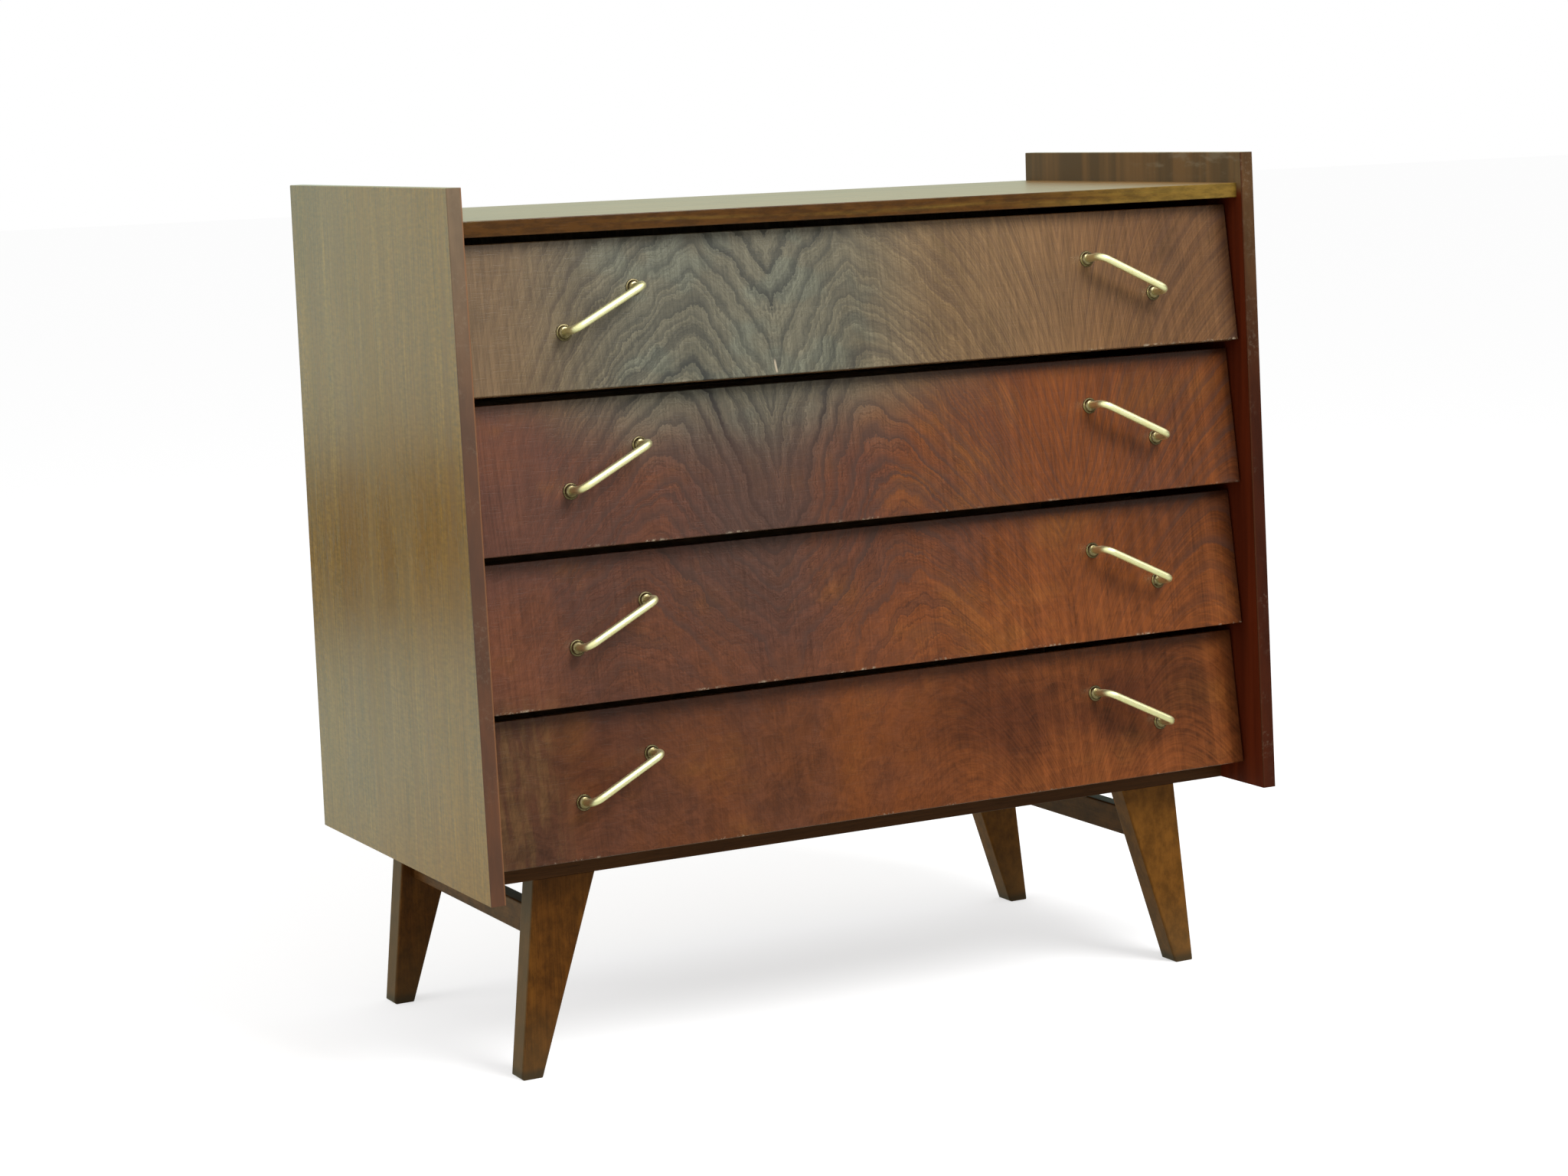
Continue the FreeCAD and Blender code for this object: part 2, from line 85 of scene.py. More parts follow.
# %% Node helpers
def feed(socket, value):
    if isinstance(value, bpy.types.NodeSocket):
        socket.id_data.links.new(value, socket)
    elif socket.type == "RGBA":
        socket.default_value = (*value, 1.0)
    else:
        socket.default_value = value


def put(tree, kind, inputs=None, **settings):
    made = tree.nodes.new(kind)
    for name, value in settings.items():
        setattr(made, name, value)
    for name, value in (inputs or {}).items():
        feed(made.inputs[name], value)
    return made


def tree_of(*values):
    return next(value.id_data for value in values if isinstance(value, bpy.types.NodeSocket))


def work(operation, *values):
    return put(tree_of(*values), "ShaderNodeMath", dict(enumerate(values)), operation=operation).outputs[0]


def times(first, *others):
    for other in others:
        first = work("MULTIPLY", first, other)
    return first


def plus(first, *others):
    for other in others:
        first = work("ADD", first, other)
    return first


def apart(value, middle):
    return work("ABSOLUTE", work("SUBTRACT", value, middle))


def hypotenuse(wide, tall):
    return work("SQRT", work("MULTIPLY_ADD", wide, wide, times(tall, tall)))


print("helpers for numbers ready")

# %% [markdown]
# Four more helpers carry most of the painting. `ease` turns a range of values into a soft step from
# one number to another, `tint` lays one colour over another, `cloud` is a noise that can be
# stretched along each axis, and `mix` goes from one number to another. Two small ones take a place
# apart into its coordinates and put it together again.

# %% Painting helpers
def ease(value, low, high, start=0.0, end=1.0):
    inputs = dict(enumerate((value, low, high, start, end)))
    return put(tree_of(value), "ShaderNodeMapRange", inputs, interpolation_type="SMOOTHSTEP").outputs[0]


def tint(share, first, second, way="MIX"):
    tree, inputs = tree_of(share, first, second), {0: share, 6: first, 7: second}
    return put(tree, "ShaderNodeMix", inputs, data_type="RGBA", blend_type=way).outputs[2]


def mix(share, first, second):
    return put(tree_of(share), "ShaderNodeMix", {0: share, 2: first, 3: second}).outputs[0]


def cloud(place, scale, detail=2.0, rough=0.5):
    spread = put(tree_of(place), "ShaderNodeMapping", {"Vector": place, "Scale": scale})
    made = put(tree_of(place), "ShaderNodeTexNoise", {
        "Vector": spread.outputs[0], "Scale": 1.0, "Detail": detail, "Roughness": rough})
    return made.outputs[0]


def parts_of(place):
    return put(tree_of(place), "ShaderNodeSeparateXYZ", {0: place}).outputs


def place_from(x=0.0, y=0.0, z=0.0):
    return put(tree_of(x, y, z), "ShaderNodeCombineXYZ", {0: x, 1: y, 2: z}).outputs[0]


print("helpers for painting ready")

# %% [markdown]
# ## Floor and backdrop
# The chest stands on plain white with only a faint shadow under it. A floor of white paint would
# have to be lit very strongly to look pure white, and that light would wash out the wood, so the
# floor is a large plane whose paint answers each kind of ray in its own way. It ends a little in
# front of the chest, where the camera does not look, so that the fronts mirror a darker room.

# %% Floor
floor_front, floor_back, floor_width = -1.4, 28.0, 60.0
bpy.ops.object.select_all(action="DESELECT")
bpy.ops.mesh.primitive_plane_add(size=1.0, location=(0.0, (floor_front + floor_back) / 2, 0.0))
floor = bpy.context.object
floor.name = "floor"
floor.scale = (floor_width, floor_back - floor_front, 1.0)
bpy.ops.object.transform_apply(location=True, rotation=True, scale=True)
print("floor is", [round(side, 1) for side in floor.dimensions], "m")

# %% [markdown]
# For the camera the paint adds its own even glow to a weak shadow. For reflections it is a glow that
# is warm in front of the chest and cool behind it, and for all other light it is plain matt paint.
# Light Path tells these rays apart.

# %% Floor paint
def ray_kinds(tree):
    rays = put(tree, "ShaderNodeLightPath").outputs
    shiny = work("MAXIMUM", rays["Is Glossy Ray"], rays["Is Transmission Ray"])
    return rays["Is Camera Ray"], shiny


white = (1.0, 1.0, 1.0)
floor_paint = bpy.data.materials.new("floor_paint")
floor_paint.use_nodes = True
tree = floor_paint.node_tree
tree.nodes.clear()
from_camera, shiny = ray_kinds(tree)
matt = put(tree, "ShaderNodeBsdfDiffuse", {"Color": (0.60, 0.60, 0.59)})
shade = put(tree, "ShaderNodeBsdfDiffuse", {"Color": (0.62, 0.62, 0.62)})
glow = put(tree, "ShaderNodeEmission", {"Color": white, "Strength": 0.605})
shown = put(tree, "ShaderNodeAddShader", {0: shade.outputs[0], 1: glow.outputs[0]})
far = parts_of(put(tree, "ShaderNodeTexCoord").outputs["Object"])["Y"]
mirror_colour = tint(ease(far, 0.2, 1.6), (0.95, 0.97, 0.75), (0.65, 0.94, 0.86))
mirror_level = ease(far, 0.2, 1.6, 0.72, 1.0)
mirrored = put(tree, "ShaderNodeEmission", {"Color": mirror_colour, "Strength": mirror_level})
lit = put(tree, "ShaderNodeMixShader", {0: from_camera, 1: matt.outputs[0], 2: shown.outputs[0]})
either = put(tree, "ShaderNodeMixShader", {0: shiny, 1: lit.outputs[0], 2: mirrored.outputs[0]})
put(tree, "ShaderNodeOutputMaterial", {"Surface": either.outputs[0]})
floor.data.materials.append(floor_paint)
print("floor paint nodes:", len(tree.nodes))

# %% [markdown]
# ## World
# The world is the room round the chest. The camera sees it as white. In reflections it is white
# behind, above, below and to the left of the chest and dim only in a low band in front of it on the
# right: that keeps the drawer fronts deep and brown, while the top catches the bright backdrop and
# the handles shine. For all other rays it is a soft fill that is stronger from above.

# %% World
dim_room = 0.26
world = bpy.data.worlds.new("studio")
bpy.context.scene.world = world
world.use_nodes = True
tree = world.node_tree
tree.nodes.clear()
heading = parts_of(put(tree, "ShaderNodeTexCoord").outputs["Generated"])
behind = ease(heading["Y"], -0.25, 0.35)
above = ease(heading["Z"], 0.16, 0.36)
leftward = ease(heading["X"], 0.15, -0.20)
below = ease(heading["Z"], -0.05, -0.19, 0.0, 0.9)
around = work("MAXIMUM", above, work("MAXIMUM", leftward, below))
backdrop_level = ease(behind, 0.0, 1.0, dim_room, 0.90)
mirrored = work("MAXIMUM", backdrop_level, ease(around, 0.0, 1.0, dim_room, 1.15))
from_camera, shiny = ray_kinds(tree)
fill = ease(heading["Z"], -0.15, 0.85, 0.30, 0.66)
strength = mix(from_camera, mix(shiny, fill, mirrored), 1.0)
backdrop = tint(ease(heading["Y"], 0.0, 0.5), (1.0, 1.0, 0.86), (0.76, 1.0, 0.84))
air_colour = tint(shiny, white, backdrop)
air = put(tree, "ShaderNodeBackground", {"Color": air_colour, "Strength": strength})
put(tree, "ShaderNodeOutputWorld", {"Surface": air.outputs[0]})
print("world nodes:", len(tree.nodes))

# %% [markdown]
# ## Lamps
# Three soft boxes light the chest. The key light hangs high in front and a little to the right,
# so each handle throws a short shadow below itself. A fill light brightens the left side. The
# third one is weak and stands in front: the upper drawers mirror it, and this gives a pale sheen
# on their polish that fades out downwards and to the right. Lamps are hidden from the camera,
# because other views may face them.

# %% Lamps
def soft_box(name, place, aim, width, height, brightness):
    bpy.ops.object.select_all(action="DESELECT")
    bpy.ops.object.light_add(type="AREA", location=place)
    lamp = bpy.context.object
    lamp.name = name
    lamp.data.shape = "RECTANGLE"
    lamp.data.size = width
    lamp.data.size_y = height
    lamp.data.energy = brightness * math.pi * width * height
    lamp.rotation_mode = "QUATERNION"
    lamp.rotation_quaternion = (Vector(aim) - Vector(place)).to_track_quat("-Z", "Y")
    lamp.visible_camera = False
    print(name, "power", round(lamp.data.energy, 1), "W")


soft_box("key_light", (0.85, -2.40, 2.90), (0.0, -0.19, 0.60), 1.6, 1.3, 13.2)
soft_box("fill_light", (-3.0, 0.6, 1.5), (-0.475, 0.0, 0.5), 1.6, 1.6, 2.5)
soft_box("sheen_light", (1.05, -3.62, 2.41), (-0.2, -0.19, 0.75), 1.3, 1.8, 1.3)

# %% [markdown]
# The polished left side mirrors the room behind it. In the photograph one broad band of it is
# not greyed by a reflection, and its warm brown shows there. A dark card far behind the chest,
# low on the floor and outside the picture, is what that band mirrors.

# %% Dark card for the left side
card_place = (-1.55, 2.5, 0.20)
bpy.ops.object.select_all(action="DESELECT")
bpy.ops.mesh.primitive_plane_add(size=1.0, location=card_place, rotation=(math.pi / 2, 0.0, 0.0))
card = bpy.context.object
card.name = "dark_card"
card.scale = (1.3, 0.32, 1.0)
bpy.ops.object.transform_apply(location=True, rotation=True, scale=True)
card.visible_camera = False
card.visible_diffuse = False
card.visible_shadow = False
card_cloth = bpy.data.materials.new("card_cloth")
card_cloth.use_nodes = True
cloth = card_cloth.node_tree.nodes["Principled BSDF"].inputs
cloth["Base Color"].default_value = (0.02, 0.02, 0.02, 1.0)
cloth["Specular IOR Level"].default_value = 0.0
card.data.materials.append(card_cloth)
print("card spans", [round(side, 2) for side in card.dimensions], "m")

# %% [markdown]
# ## Grain that runs straight
# Sawn and sliced wood shows three things at once: broad streaks, fine fibres and short dark
# pores, all stretched along the grain. One noise could give each of them. As nearly every wooden
# board here needs all three, they live in one node group that is fed with a place whose Y runs
# along the grain, and each material uses the three masks with its own colours. In this cell and
# the next ones, g is the group that is being filled.

# %% Node group: straight grain
def new_group(name, outputs, numbers=()):
    group = bpy.data.node_groups.new(name, "ShaderNodeTree")
    group.interface.new_socket("Place", in_out="INPUT", socket_type="NodeSocketVector")
    for title in numbers:
        group.interface.new_socket(title, in_out="INPUT", socket_type="NodeSocketFloat")
    for title in outputs:
        group.interface.new_socket(title, in_out="OUTPUT", socket_type="NodeSocketFloat")
    return group, put(group, "NodeGroupInput").outputs, put(group, "NodeGroupOutput").inputs


straight_grain, given, result = new_group("straight_grain", ["Streaks", "Fibres", "Pores"])
g = straight_grain
sway = place_from(times(cloud(given["Place"], (9.0, 2.2, 9.0), 1.0), 0.02))
swayed = put(g, "ShaderNodeVectorMath", {0: given["Place"], 1: sway}, operation="ADD").outputs[0]
feed(result["Streaks"], cloud(swayed, (70.0, 1.6, 70.0), 3.0, 0.6))
feed(result["Fibres"], cloud(swayed, (430.0, 9.0, 430.0), 2.0, 0.6))
feed(result["Pores"], ease(cloud(swayed, (900.0, 45.0, 900.0), 1.0), 0.60, 0.72))
print("group", g.name, "has", len(g.nodes), "nodes")

# %% [markdown]
# ## Book-matched crown figure
# The drawer fronts are veneered from leaves that were opened like a book, so the arched figure
# is mirrored at each seam and runs on over all four drawers. A picture of it is not needed: the
# figure is a map of heights. Ping-pong folds the width at the seams, and two slopes bend each level
# line into an arch that is steeper towards the seam and whose middle drifts outwards from drawer
# to drawer.

# %% Node group: arches of the crown figure
seam, leaf_width, crown_top = -0.117, 0.353, 0.785
crown_figure, given, result = new_group(
    "crown_figure", ["Lines", "Hairlines", "Fan", "Tone", "Eye", "Across"])
g = crown_figure
spot = parts_of(given["Place"])
across = work("PINGPONG", work("SUBTRACT", spot["X"], seam), leaf_width)
leaf = place_from(across, times(spot["X"], 0.06), spot["Z"])
drop = work("SUBTRACT", crown_top, spot["Z"])
axis = plus(0.093, times(drop, work("MULTIPLY_ADD", drop, 0.35, 0.15)))
aside = work("SUBTRACT", across, axis)
blunt = work("MULTIPLY_ADD", drop, 0.08, 0.008)
growth = work("MULTIPLY_ADD", work("MINIMUM", drop, 0.20), 2.4, 1.0)
steep = times(ease(aside, -0.03, 0.03, 1.16, 0.66), growth, ease(drop, 0.20, 0.36, 1.0, 0.55))
arch = times(work("SUBTRACT", hypotenuse(aside, blunt), blunt), steep)
flank = times(work("POWER", work("DIVIDE", across, leaf_width), 4.0), 0.24)
smooth = plus(spot["Z"], arch, flank)
print("crown figure: seams every", leaf_width, "m from", seam)

# %% [markdown]
# Three noises make the level lines wavy, jagged and fringed, most of all beside the seam. To the
# right the veneer is calmer. There its fibres fan out along the arches, so the fan is a noise that
# is stretched along the smooth level lines.

# %% Node group: waves and fan of the crown figure
waves = work("MULTIPLY_ADD", cloud(leaf, (34.0, 34.0, 22.0), 1.0), 0.036, -0.018)
jag = work("SUBTRACT", cloud(leaf, (130.0, 130.0, 80.0), 2.0, 0.55), 0.5)
jag = times(jag, ease(across, 0.0, 0.20, 0.016, 0.005))
fringe = work("MULTIPLY_ADD", cloud(leaf, (420.0, 420.0, 260.0), 2.0, 0.6), 0.008, -0.004)
calm_right = ease(spot["X"], 0.08, 0.26, 1.0, 0.40)
height = plus(smooth, times(plus(waves, jag, fringe), calm_right))
feed(result["Fan"], cloud(place_from(smooth, across), (300.0, 12.0, 1.0), 3.0, 0.65))
feed(result["Tone"], cloud(leaf, (8.0, 8.0, 6.0), 4.0, 0.6))
feed(result["Across"], across)
print("nodes so far:", len(g.nodes))

# %% [markdown]
# The height is cut into steps. Each step starts with a sharp dark line that fades slowly upwards,
# like the late wood of a year's growth, and a random number for the step makes some lines strong
# and others faint. Coarse, middling and fine sets of such lines follow the same arches. The figure
# is strongest near the seam and at the top of the chest, and almost gone in the lowest drawer.

# %% Node group: lines of the crown figure
def year_lines(spacing, weakest, tail, thin=1.2):
    count = work("DIVIDE", height, spacing)
    along = work("FRACT", count)
    year = {"W": work("FLOOR", count)}
    chance = put(g, "ShaderNodeTexWhiteNoise", year, noise_dimensions="1D").outputs[0]
    fading = work("POWER", ease(along, 0.12, tail, 1.0, 0.0), thin)
    return times(ease(along, 0.0, 0.08), fading, ease(chance, 0.0, 1.0, weakest, 1.0))


strong_high = ease(spot["Z"], 0.31, 0.555, 0.06, 1.0)
strong_seam = ease(across, 0.04, 0.26, 1.16, 0.62)
uneven = ease(cloud(leaf, (11.0, 11.0, 9.0), 2.0), 0.30, 0.62, 0.72, 1.0)
right_leaf = times(ease(spot["X"], -0.13, 0.03, 1.0, 0.66), ease(spot["X"], 0.10, 0.30, 1.0, 0.95))
right_leaf = work("MAXIMUM", right_leaf, ease(spot["Z"], 0.71, 0.66, 0.0, 0.95))
calm_end = ease(spot["X"], -0.44, -0.34, 0.25, 1.0)

coarse = year_lines(0.0290, 0.60, 0.85, 2.1)
middling = times(
    year_lines(0.0103, 0.05, 0.95), ease(across, 0.05, 0.20, 0.55, 1.15),
    ease(spot["X"], -0.20, 0.0, 0.78, 1.0), calm_right)
lines = work("MAXIMUM", coarse, middling)
feed(result["Lines"], times(lines, strong_high, strong_seam, uneven, right_leaf, calm_end))
hairlines = times(
    year_lines(0.0040, 0.2, 0.95), ease(strong_high, 0.0, 0.7, 0.35, 1.0),
    ease(right_leaf, 0.2, 1.0, 0.60, 1.0), calm_end, calm_right)
feed(result["Hairlines"], hairlines)
print("nodes so far:", len(g.nodes))

# %% [markdown]
# Low in each leaf the arches close into a dark, swirling eye, where a branch grew. It is a soft
# oval with a ragged rim, and since it hangs on the folded width it shows once in every leaf.

# %% Node group: eye of the figure
eye_across, eye_height = 0.275, 0.325
wide = work("DIVIDE", work("SUBTRACT", across, eye_across), 0.105)
tall = work("DIVIDE", work("SUBTRACT", spot["Z"], eye_height), 0.060)
ragged = work("MULTIPLY_ADD", cloud(leaf, (30.0, 30.0, 30.0), 3.0, 0.6), 1.6, -0.8)
from_eye = plus(hypotenuse(wide, tall), ragged)
feed(result["Eye"], ease(from_eye, 0.1, 1.35, 1.0, 0.0))
print("eyes at", [round(seam + side * eye_across, 3) for side in (-1, 1)])
print("group", g.name, "has", len(g.nodes), "nodes")

# %% [markdown]
# ## Painted sheen
# The top drawer and the upper middle of the second one are painted grey-olive: a painted sheen
# that stands in for the pale reflection on their polish, while the rest stays red-brown. The
# limit of that patch sags in the middle, so its height is a parabola over the width, blurred and
# made uneven by noise.

# %% Node group: painted sheen patch
painted_sheen_patch, given, result = new_group("painted_sheen_patch", ["Fade"])
g = painted_sheen_patch
spot = parts_of(given["Place"])
middle = work("ADD", spot["X"], 0.13)
limit = work("MULTIPLY_ADD", times(middle, middle), 0.85, 0.650)
uneven = work("MULTIPLY_ADD", cloud(given["Place"], (9.0, 9.0, 9.0), 2.0), 0.08, -0.04)
over = work("SUBTRACT", spot["Z"], plus(limit, uneven))
inside = work("MAXIMUM", ease(over, -0.060, 0.055), ease(spot["Z"], 0.694, 0.706))
left_end = ease(spot["X"], -0.44, -0.34, 0.80, 1.0)
right_half = ease(spot["X"], 0.0, 0.40, 1.0, 0.48)
feed(result["Fade"], times(inside, left_end, right_half))
print("group", g.name, "has", len(g.nodes), "nodes")

# %% [markdown]
# ## Worn edges
# Edges of veneered boards lose their polish first, and little chips show the pale ground. The
# distance from an edge is known for each board, so wear is a mask that is strongest on the edge
# and is broken up by noise. It is a group, because panels and drawer fronts both use it.

# %% Node group: worn edge
worn_edge, given, result = new_group("worn_edge", ["Wear"], ["Distance", "Width"])
g = worn_edge
patchy = cloud(given["Place"], (22.0, 22.0, 22.0), 1.0)
specks = cloud(given["Place"], (210.0, 210.0, 210.0), 3.0, 0.7)
near = ease(work("DIVIDE", given["Distance"], given["Width"]), 0.0, 1.0, 1.0, 0.0)
feed(result["Wear"], times(near, ease(patchy, 0.48, 0.66), ease(specks, 0.50, 0.66)))
print("group", g.name, "has", len(g.nodes), "nodes")

# %% [markdown]
# ## Wood finishes
# The case is veneered board with plain straight grain under a thin satin polish. The sides have
# their grain upright, and the top and bottom from left to right. A finish is a function here,
# because the boards differ only in their tones and in the way their grain runs: the place is
# turned so that its Y follows the grain, and the rest is the same. The fibres and pores also feed
# a slight bump.

# %% Polished straight-grained wood
def place_of(tree, order="XYZ"):
    spot = parts_of(put(tree, "ShaderNodeTexCoord").outputs["Object"])
    return place_from(*(spot[letter] for letter in order)), spot


def new_finish(name, roughness, gloss=0.5):
    material = bpy.data.materials.new(name)
    material.use_nodes = True
    shader = material.node_tree.nodes["Principled BSDF"].inputs
    shader["Roughness"].default_value = roughness
    shader["Specular IOR Level"].default_value = gloss
    return material, material.node_tree, shader


def use_group(group, **inputs):
    return put(tree_of(*inputs.values()), "ShaderNodeGroup", inputs, node_tree=group).outputs


def shaded(colour, level):
    grey = put(tree_of(level), "ShaderNodeCombineColor", {0: level, 1: level, 2: level})
    return tint(1.0, colour, grey.outputs[0], "MULTIPLY")


def grained(place, light, dark, pore, marked=1.0):
    grain = use_group(straight_grain, Place=place)
    colour = tint(ease(grain["Streaks"], 0.22, 0.78), dark, light)
    fibres = ease(grain["Fibres"], 0.25, 0.75, 1.0 - 0.16 * marked, 1.0 + 0.12 * marked)
    colour = shaded(colour, fibres)
    colour = tint(times(grain["Pores"], 0.40 * marked), colour, pore)
    relief = work("SUBTRACT", grain["Fibres"], grain["Pores"])
    bump = put(tree_of(place), "ShaderNodeBump", {"Strength": 0.12, "Distance": 0.0006, "Height": relief})
    return colour, bump.outputs[0]


def dress(shader, colour, bump):
    feed(shader["Base Color"], colour)
    feed(shader["Normal"], bump)


def plain_wood(name, order, light, dark, pore, roughness, gloss=0.5):
    material, tree, shader = new_finish(name, roughness, gloss)
    dress(shader, *grained(place_of(tree, order)[0], light, dark, pore))
    return material


print("wood finishes ready")

# %% [markdown]
# ## Side panels
# The outer faces are golden brown and redder towards the front. Besides the straight grain they
# have warm streaks and a fine ripple across the grain, as the cutting knife leaves it.

# %% Outer faces of the sides
left_tones = (0.300, 0.166, 0.027), (0.246, 0.128, 0.020), (0.180, 0.090, 0.020)
right_tones = (0.285, 0.146, 0.042), (0.225, 0.108, 0.030), (0.150, 0.072, 0.022)
side_warm, front_redness = (0.244, 0.116, 0.021), (1.0, 0.91, 0.45)


def outer_face(place, spot, tones):
    colour, bump = grained(place, *tones, 1.8)
    ripple = cloud(place, (110.0, 300.0, 110.0), 2.0, 0.6)
    colour = shaded(colour, ease(ripple, 0.30, 0.70, 0.84, 1.16))
    streaks = cloud(place, (58.0, 2.4, 58.0), 4.0, 0.65)
    colour = tint(ease(streaks, 0.36, 0.66, 0.0, 0.55), colour, side_warm)
    forward = ease(spot["Y"], 0.10, -0.16, 0.0, 0.9)
    colour = tint(forward, colour, front_redness, "MULTIPLY")
    # The upper rear corner is made up to 26 per cent darker.
    rear_corner = times(ease(spot["Y"], 0.02, 0.24), ease(spot["Z"], 0.74, 0.92))
    return shaded(colour, work("MULTIPLY_ADD", rear_corner, -0.26, 1.0)), bump


print("outer faces: left", left_tones[0], "right", right_tones[0])

# %% [markdown]
# Inside the case the inner faces are painted dark red: painted shade, with a painted reflection of
# the red fronts. Above the top board they are streaked brown, with a few pale scuffs near the
# upper edge, where hands have rubbed them.

# %% Inner faces of the sides
shade_inside_light, shade_inside_dark = (0.158, 0.025, 0.006), (0.084, 0.012, 0.003)
above_light, above_dark = (0.218, 0.126, 0.050), (0.128, 0.082, 0.038)
scuffed_polish = (0.300, 0.255, 0.165)
top_board = (0.862, 0.876)


def inner_face(place, spot):
    streaks = ease(cloud(place, (34.0, 1.5, 1.0), 3.0, 0.65), 0.36, 0.66)
    scuffs = ease(cloud(place, (24.0, 70.0, 24.0), 3.0, 0.6), 0.48, 0.68, 0.0, 0.48)
    scuffs = times(scuffs, ease(spot["Z"], 0.880, 0.892), ease(spot["Y"], 0.03, -0.06))
    above = tint(scuffs, tint(streaks, above_dark, above_light), scuffed_polish)
    # Painted shade: the dark red below the top board stands for shade inside the case and the red fronts
    # it mirrors.
    below = tint(streaks, shade_inside_dark, shade_inside_light)
    return tint(ease(spot["Z"], *top_board), below, above)


print("inner faces change at the top board, from", top_board[0], "m up")

# %% [markdown]
# The front edges of the side panels slope: they are further forward at the foot than at the top.
# Their distance from any point follows from that slope, and the edge gets the redder, duller
# tone of its lipping, darker towards the foot, with a worn inner corner and a few pale specks.

# %% Side veneers
panel_foot, panel_front, panel_slope = 0.207, -0.233, 0.029 / 0.703
veneer_depth, lipping_depth = (0.4598, 0.4604), (0.0008, 0.0014)
bare_wood = (0.52, 0.43, 0.30)
left_lipping = (0.178, 0.112, 0.056), (0.082, 0.024, 0.005), (0.250, 0.095, 0.026)
right_lipping = (0.102, 0.050, 0.018), (0.042, 0.007, 0.001), (0.060, 0.016, 0.004)


def lipping(place, spot, depth, high, low, corner):
    blotchy = cloud(place, (60.0, 14.0, 60.0), 3.0, 0.6)
    band = tint(ease(spot["Z"], 0.60, 0.92), low, high)
    band = shaded(band, ease(blotchy, 0.30, 0.70, 0.78, 1.20))
    band = shaded(band, ease(spot["Z"], 0.30, 0.52, 1.14, 0.88))
    return tint(ease(depth, 0.4594, 0.4614, 0.8, 0.0), band, corner)


def side_finish(name, gloss, tones, lipping_tones):
    material, tree, shader = new_finish(name, 0.27, gloss)
    place, spot = place_of(tree, "YZX")
    colour, bump = outer_face(place, spot, tones)
    depth = work("ABSOLUTE", spot["X"])
    outside = ease(depth, *veneer_depth)
    colour = tint(outside, inner_face(place, spot), colour)
    up = work("SUBTRACT", spot["Z"], panel_foot)
    edge = work("MULTIPLY_ADD", up, panel_slope, panel_front)
    from_edge = work("SUBTRACT", spot["Y"], edge)
    behind = ease(from_edge, *lipping_depth)
    colour = tint(behind, lipping(place, spot, depth, *lipping_tones), colour)
    wear = use_group(worn_edge, Place=place, Distance=from_edge, Width=0.0018)["Wear"]
    dress(shader, tint(times(wear, 0.07), colour, bare_wood), bump)
    smudged = ease(cloud(place, (16.0, 4.0, 16.0), 1.0), 0.34, 0.68, 0.25, 0.285)
    feed(shader["Roughness"], mix(times(outside, behind), 0.52, smudged))
    return material


left_veneer = side_finish("left_veneer", 0.58, left_tones, left_lipping)
right_veneer = side_finish("right_veneer", 0.12, right_tones, right_lipping)
print("side veneers:", left_veneer.name, right_veneer.name)

# %% [markdown]
# ## Top and bottom
# The top board is veneered like the sides. Its front edge shows as a strip of darker, coarser
# grain that runs from left to right, yellower at the right end and full of small flecks. The
# board under the drawers is painted dark, as painted shade.

# %% Top and bottom boards
top_tones = (0.300, 0.168, 0.060), (0.222, 0.118, 0.040), (0.130, 0.066, 0.022)
strip_brown, strip_yellow = (0.072, 0.027, 0.003), (0.245, 0.155, 0.026)
bottom_shade_tones = (0.085, 0.034, 0.009), (0.050, 0.018, 0.005), (0.030, 0.012, 0.004)

top_veneer, tree, shader = new_finish("top_veneer", 0.30, 0.25)
place, spot = place_of(tree, "YXZ")
colour, bump = grained(place, *top_tones)
strip_place = place_of(tree, "ZXY")[0]
strip_streaks = use_group(straight_grain, Place=strip_place)["Streaks"]
rightward = ease(spot["X"], 0.14, 0.45, 0.0, 0.70)
yellower = plus(rightward, ease(strip_streaks, 0.38, 0.78, -0.1, 0.55))
strip = tint(yellower, strip_brown, strip_yellow)
flecks = cloud(strip_place, (190.0, 48.0, 60.0), 3.0, 0.68)
strip = shaded(strip, ease(flecks, 0.34, 0.62, 0.78, 1.26))
dress(shader, tint(ease(spot["Y"], -0.1955, -0.1948), strip, colour), bump)

# Painted shade: the board under the drawers is painted dark.
bottom_shade_veneer = plain_wood("bottom_shade_veneer", "YXZ", *bottom_shade_tones, 0.40, 0.08)
print("boards:", top_veneer.name, bottom_shade_veneer.name)

# %% [markdown]
# ## Drawer fronts
# The veneer of the fronts is painted in layers. The ground is mauve-brown on the left and orange
# on the right and below, with amber patches. The lowest drawer has the dark eyes of the figure and
# upright violet and olive streaks at its left end, and beside the seam the wood is plum-coloured.

# %% Ground colour of the fronts
mauve, orange, amber = (0.132, 0.050, 0.030), (0.172, 0.050, 0.012), (0.235, 0.086, 0.018)
dark_eye, plum = (0.070, 0.019, 0.007), (0.082, 0.052, 0.042)
violet_streak, olive_streak = (0.090, 0.036, 0.018), (0.150, 0.078, 0.030)


def ground_colour(place, spot, figure, mottle):
    warmth = plus(
        ease(spot["X"], -0.20, 0.30), ease(figure["Tone"], 0.30, 0.70, -0.4, 0.4),
        ease(spot["Z"], 0.44, 0.28, 0.0, 0.7))
    colour = tint(warmth, mauve, orange)
    colour = tint(ease(mottle, 0.50, 0.72, 0.0, 0.55), colour, amber)
    eye = times(figure["Eye"], ease(spot["X"], -0.1, 0.1, 0.66, 0.80))
    colour = tint(eye, colour, dark_eye)
    streaks = ease(cloud(place, (85.0, 85.0, 3.0), 3.0, 0.6), 0.36, 0.64)
    low_left = times(ease(spot["X"], -0.34, -0.41), ease(spot["Z"], 0.42, 0.36, 0.0, 0.8))
    colour = tint(low_left, colour, tint(streaks, violet_streak, olive_streak))
    by_seam = ease(apart(spot["X"], -0.145), 0.02, 0.11, 0.70, 0.0)
    return tint(times(by_seam, ease(spot["Z"], 0.40, 0.58)), colour, plum)


print("ground from", mauve, "to", orange)
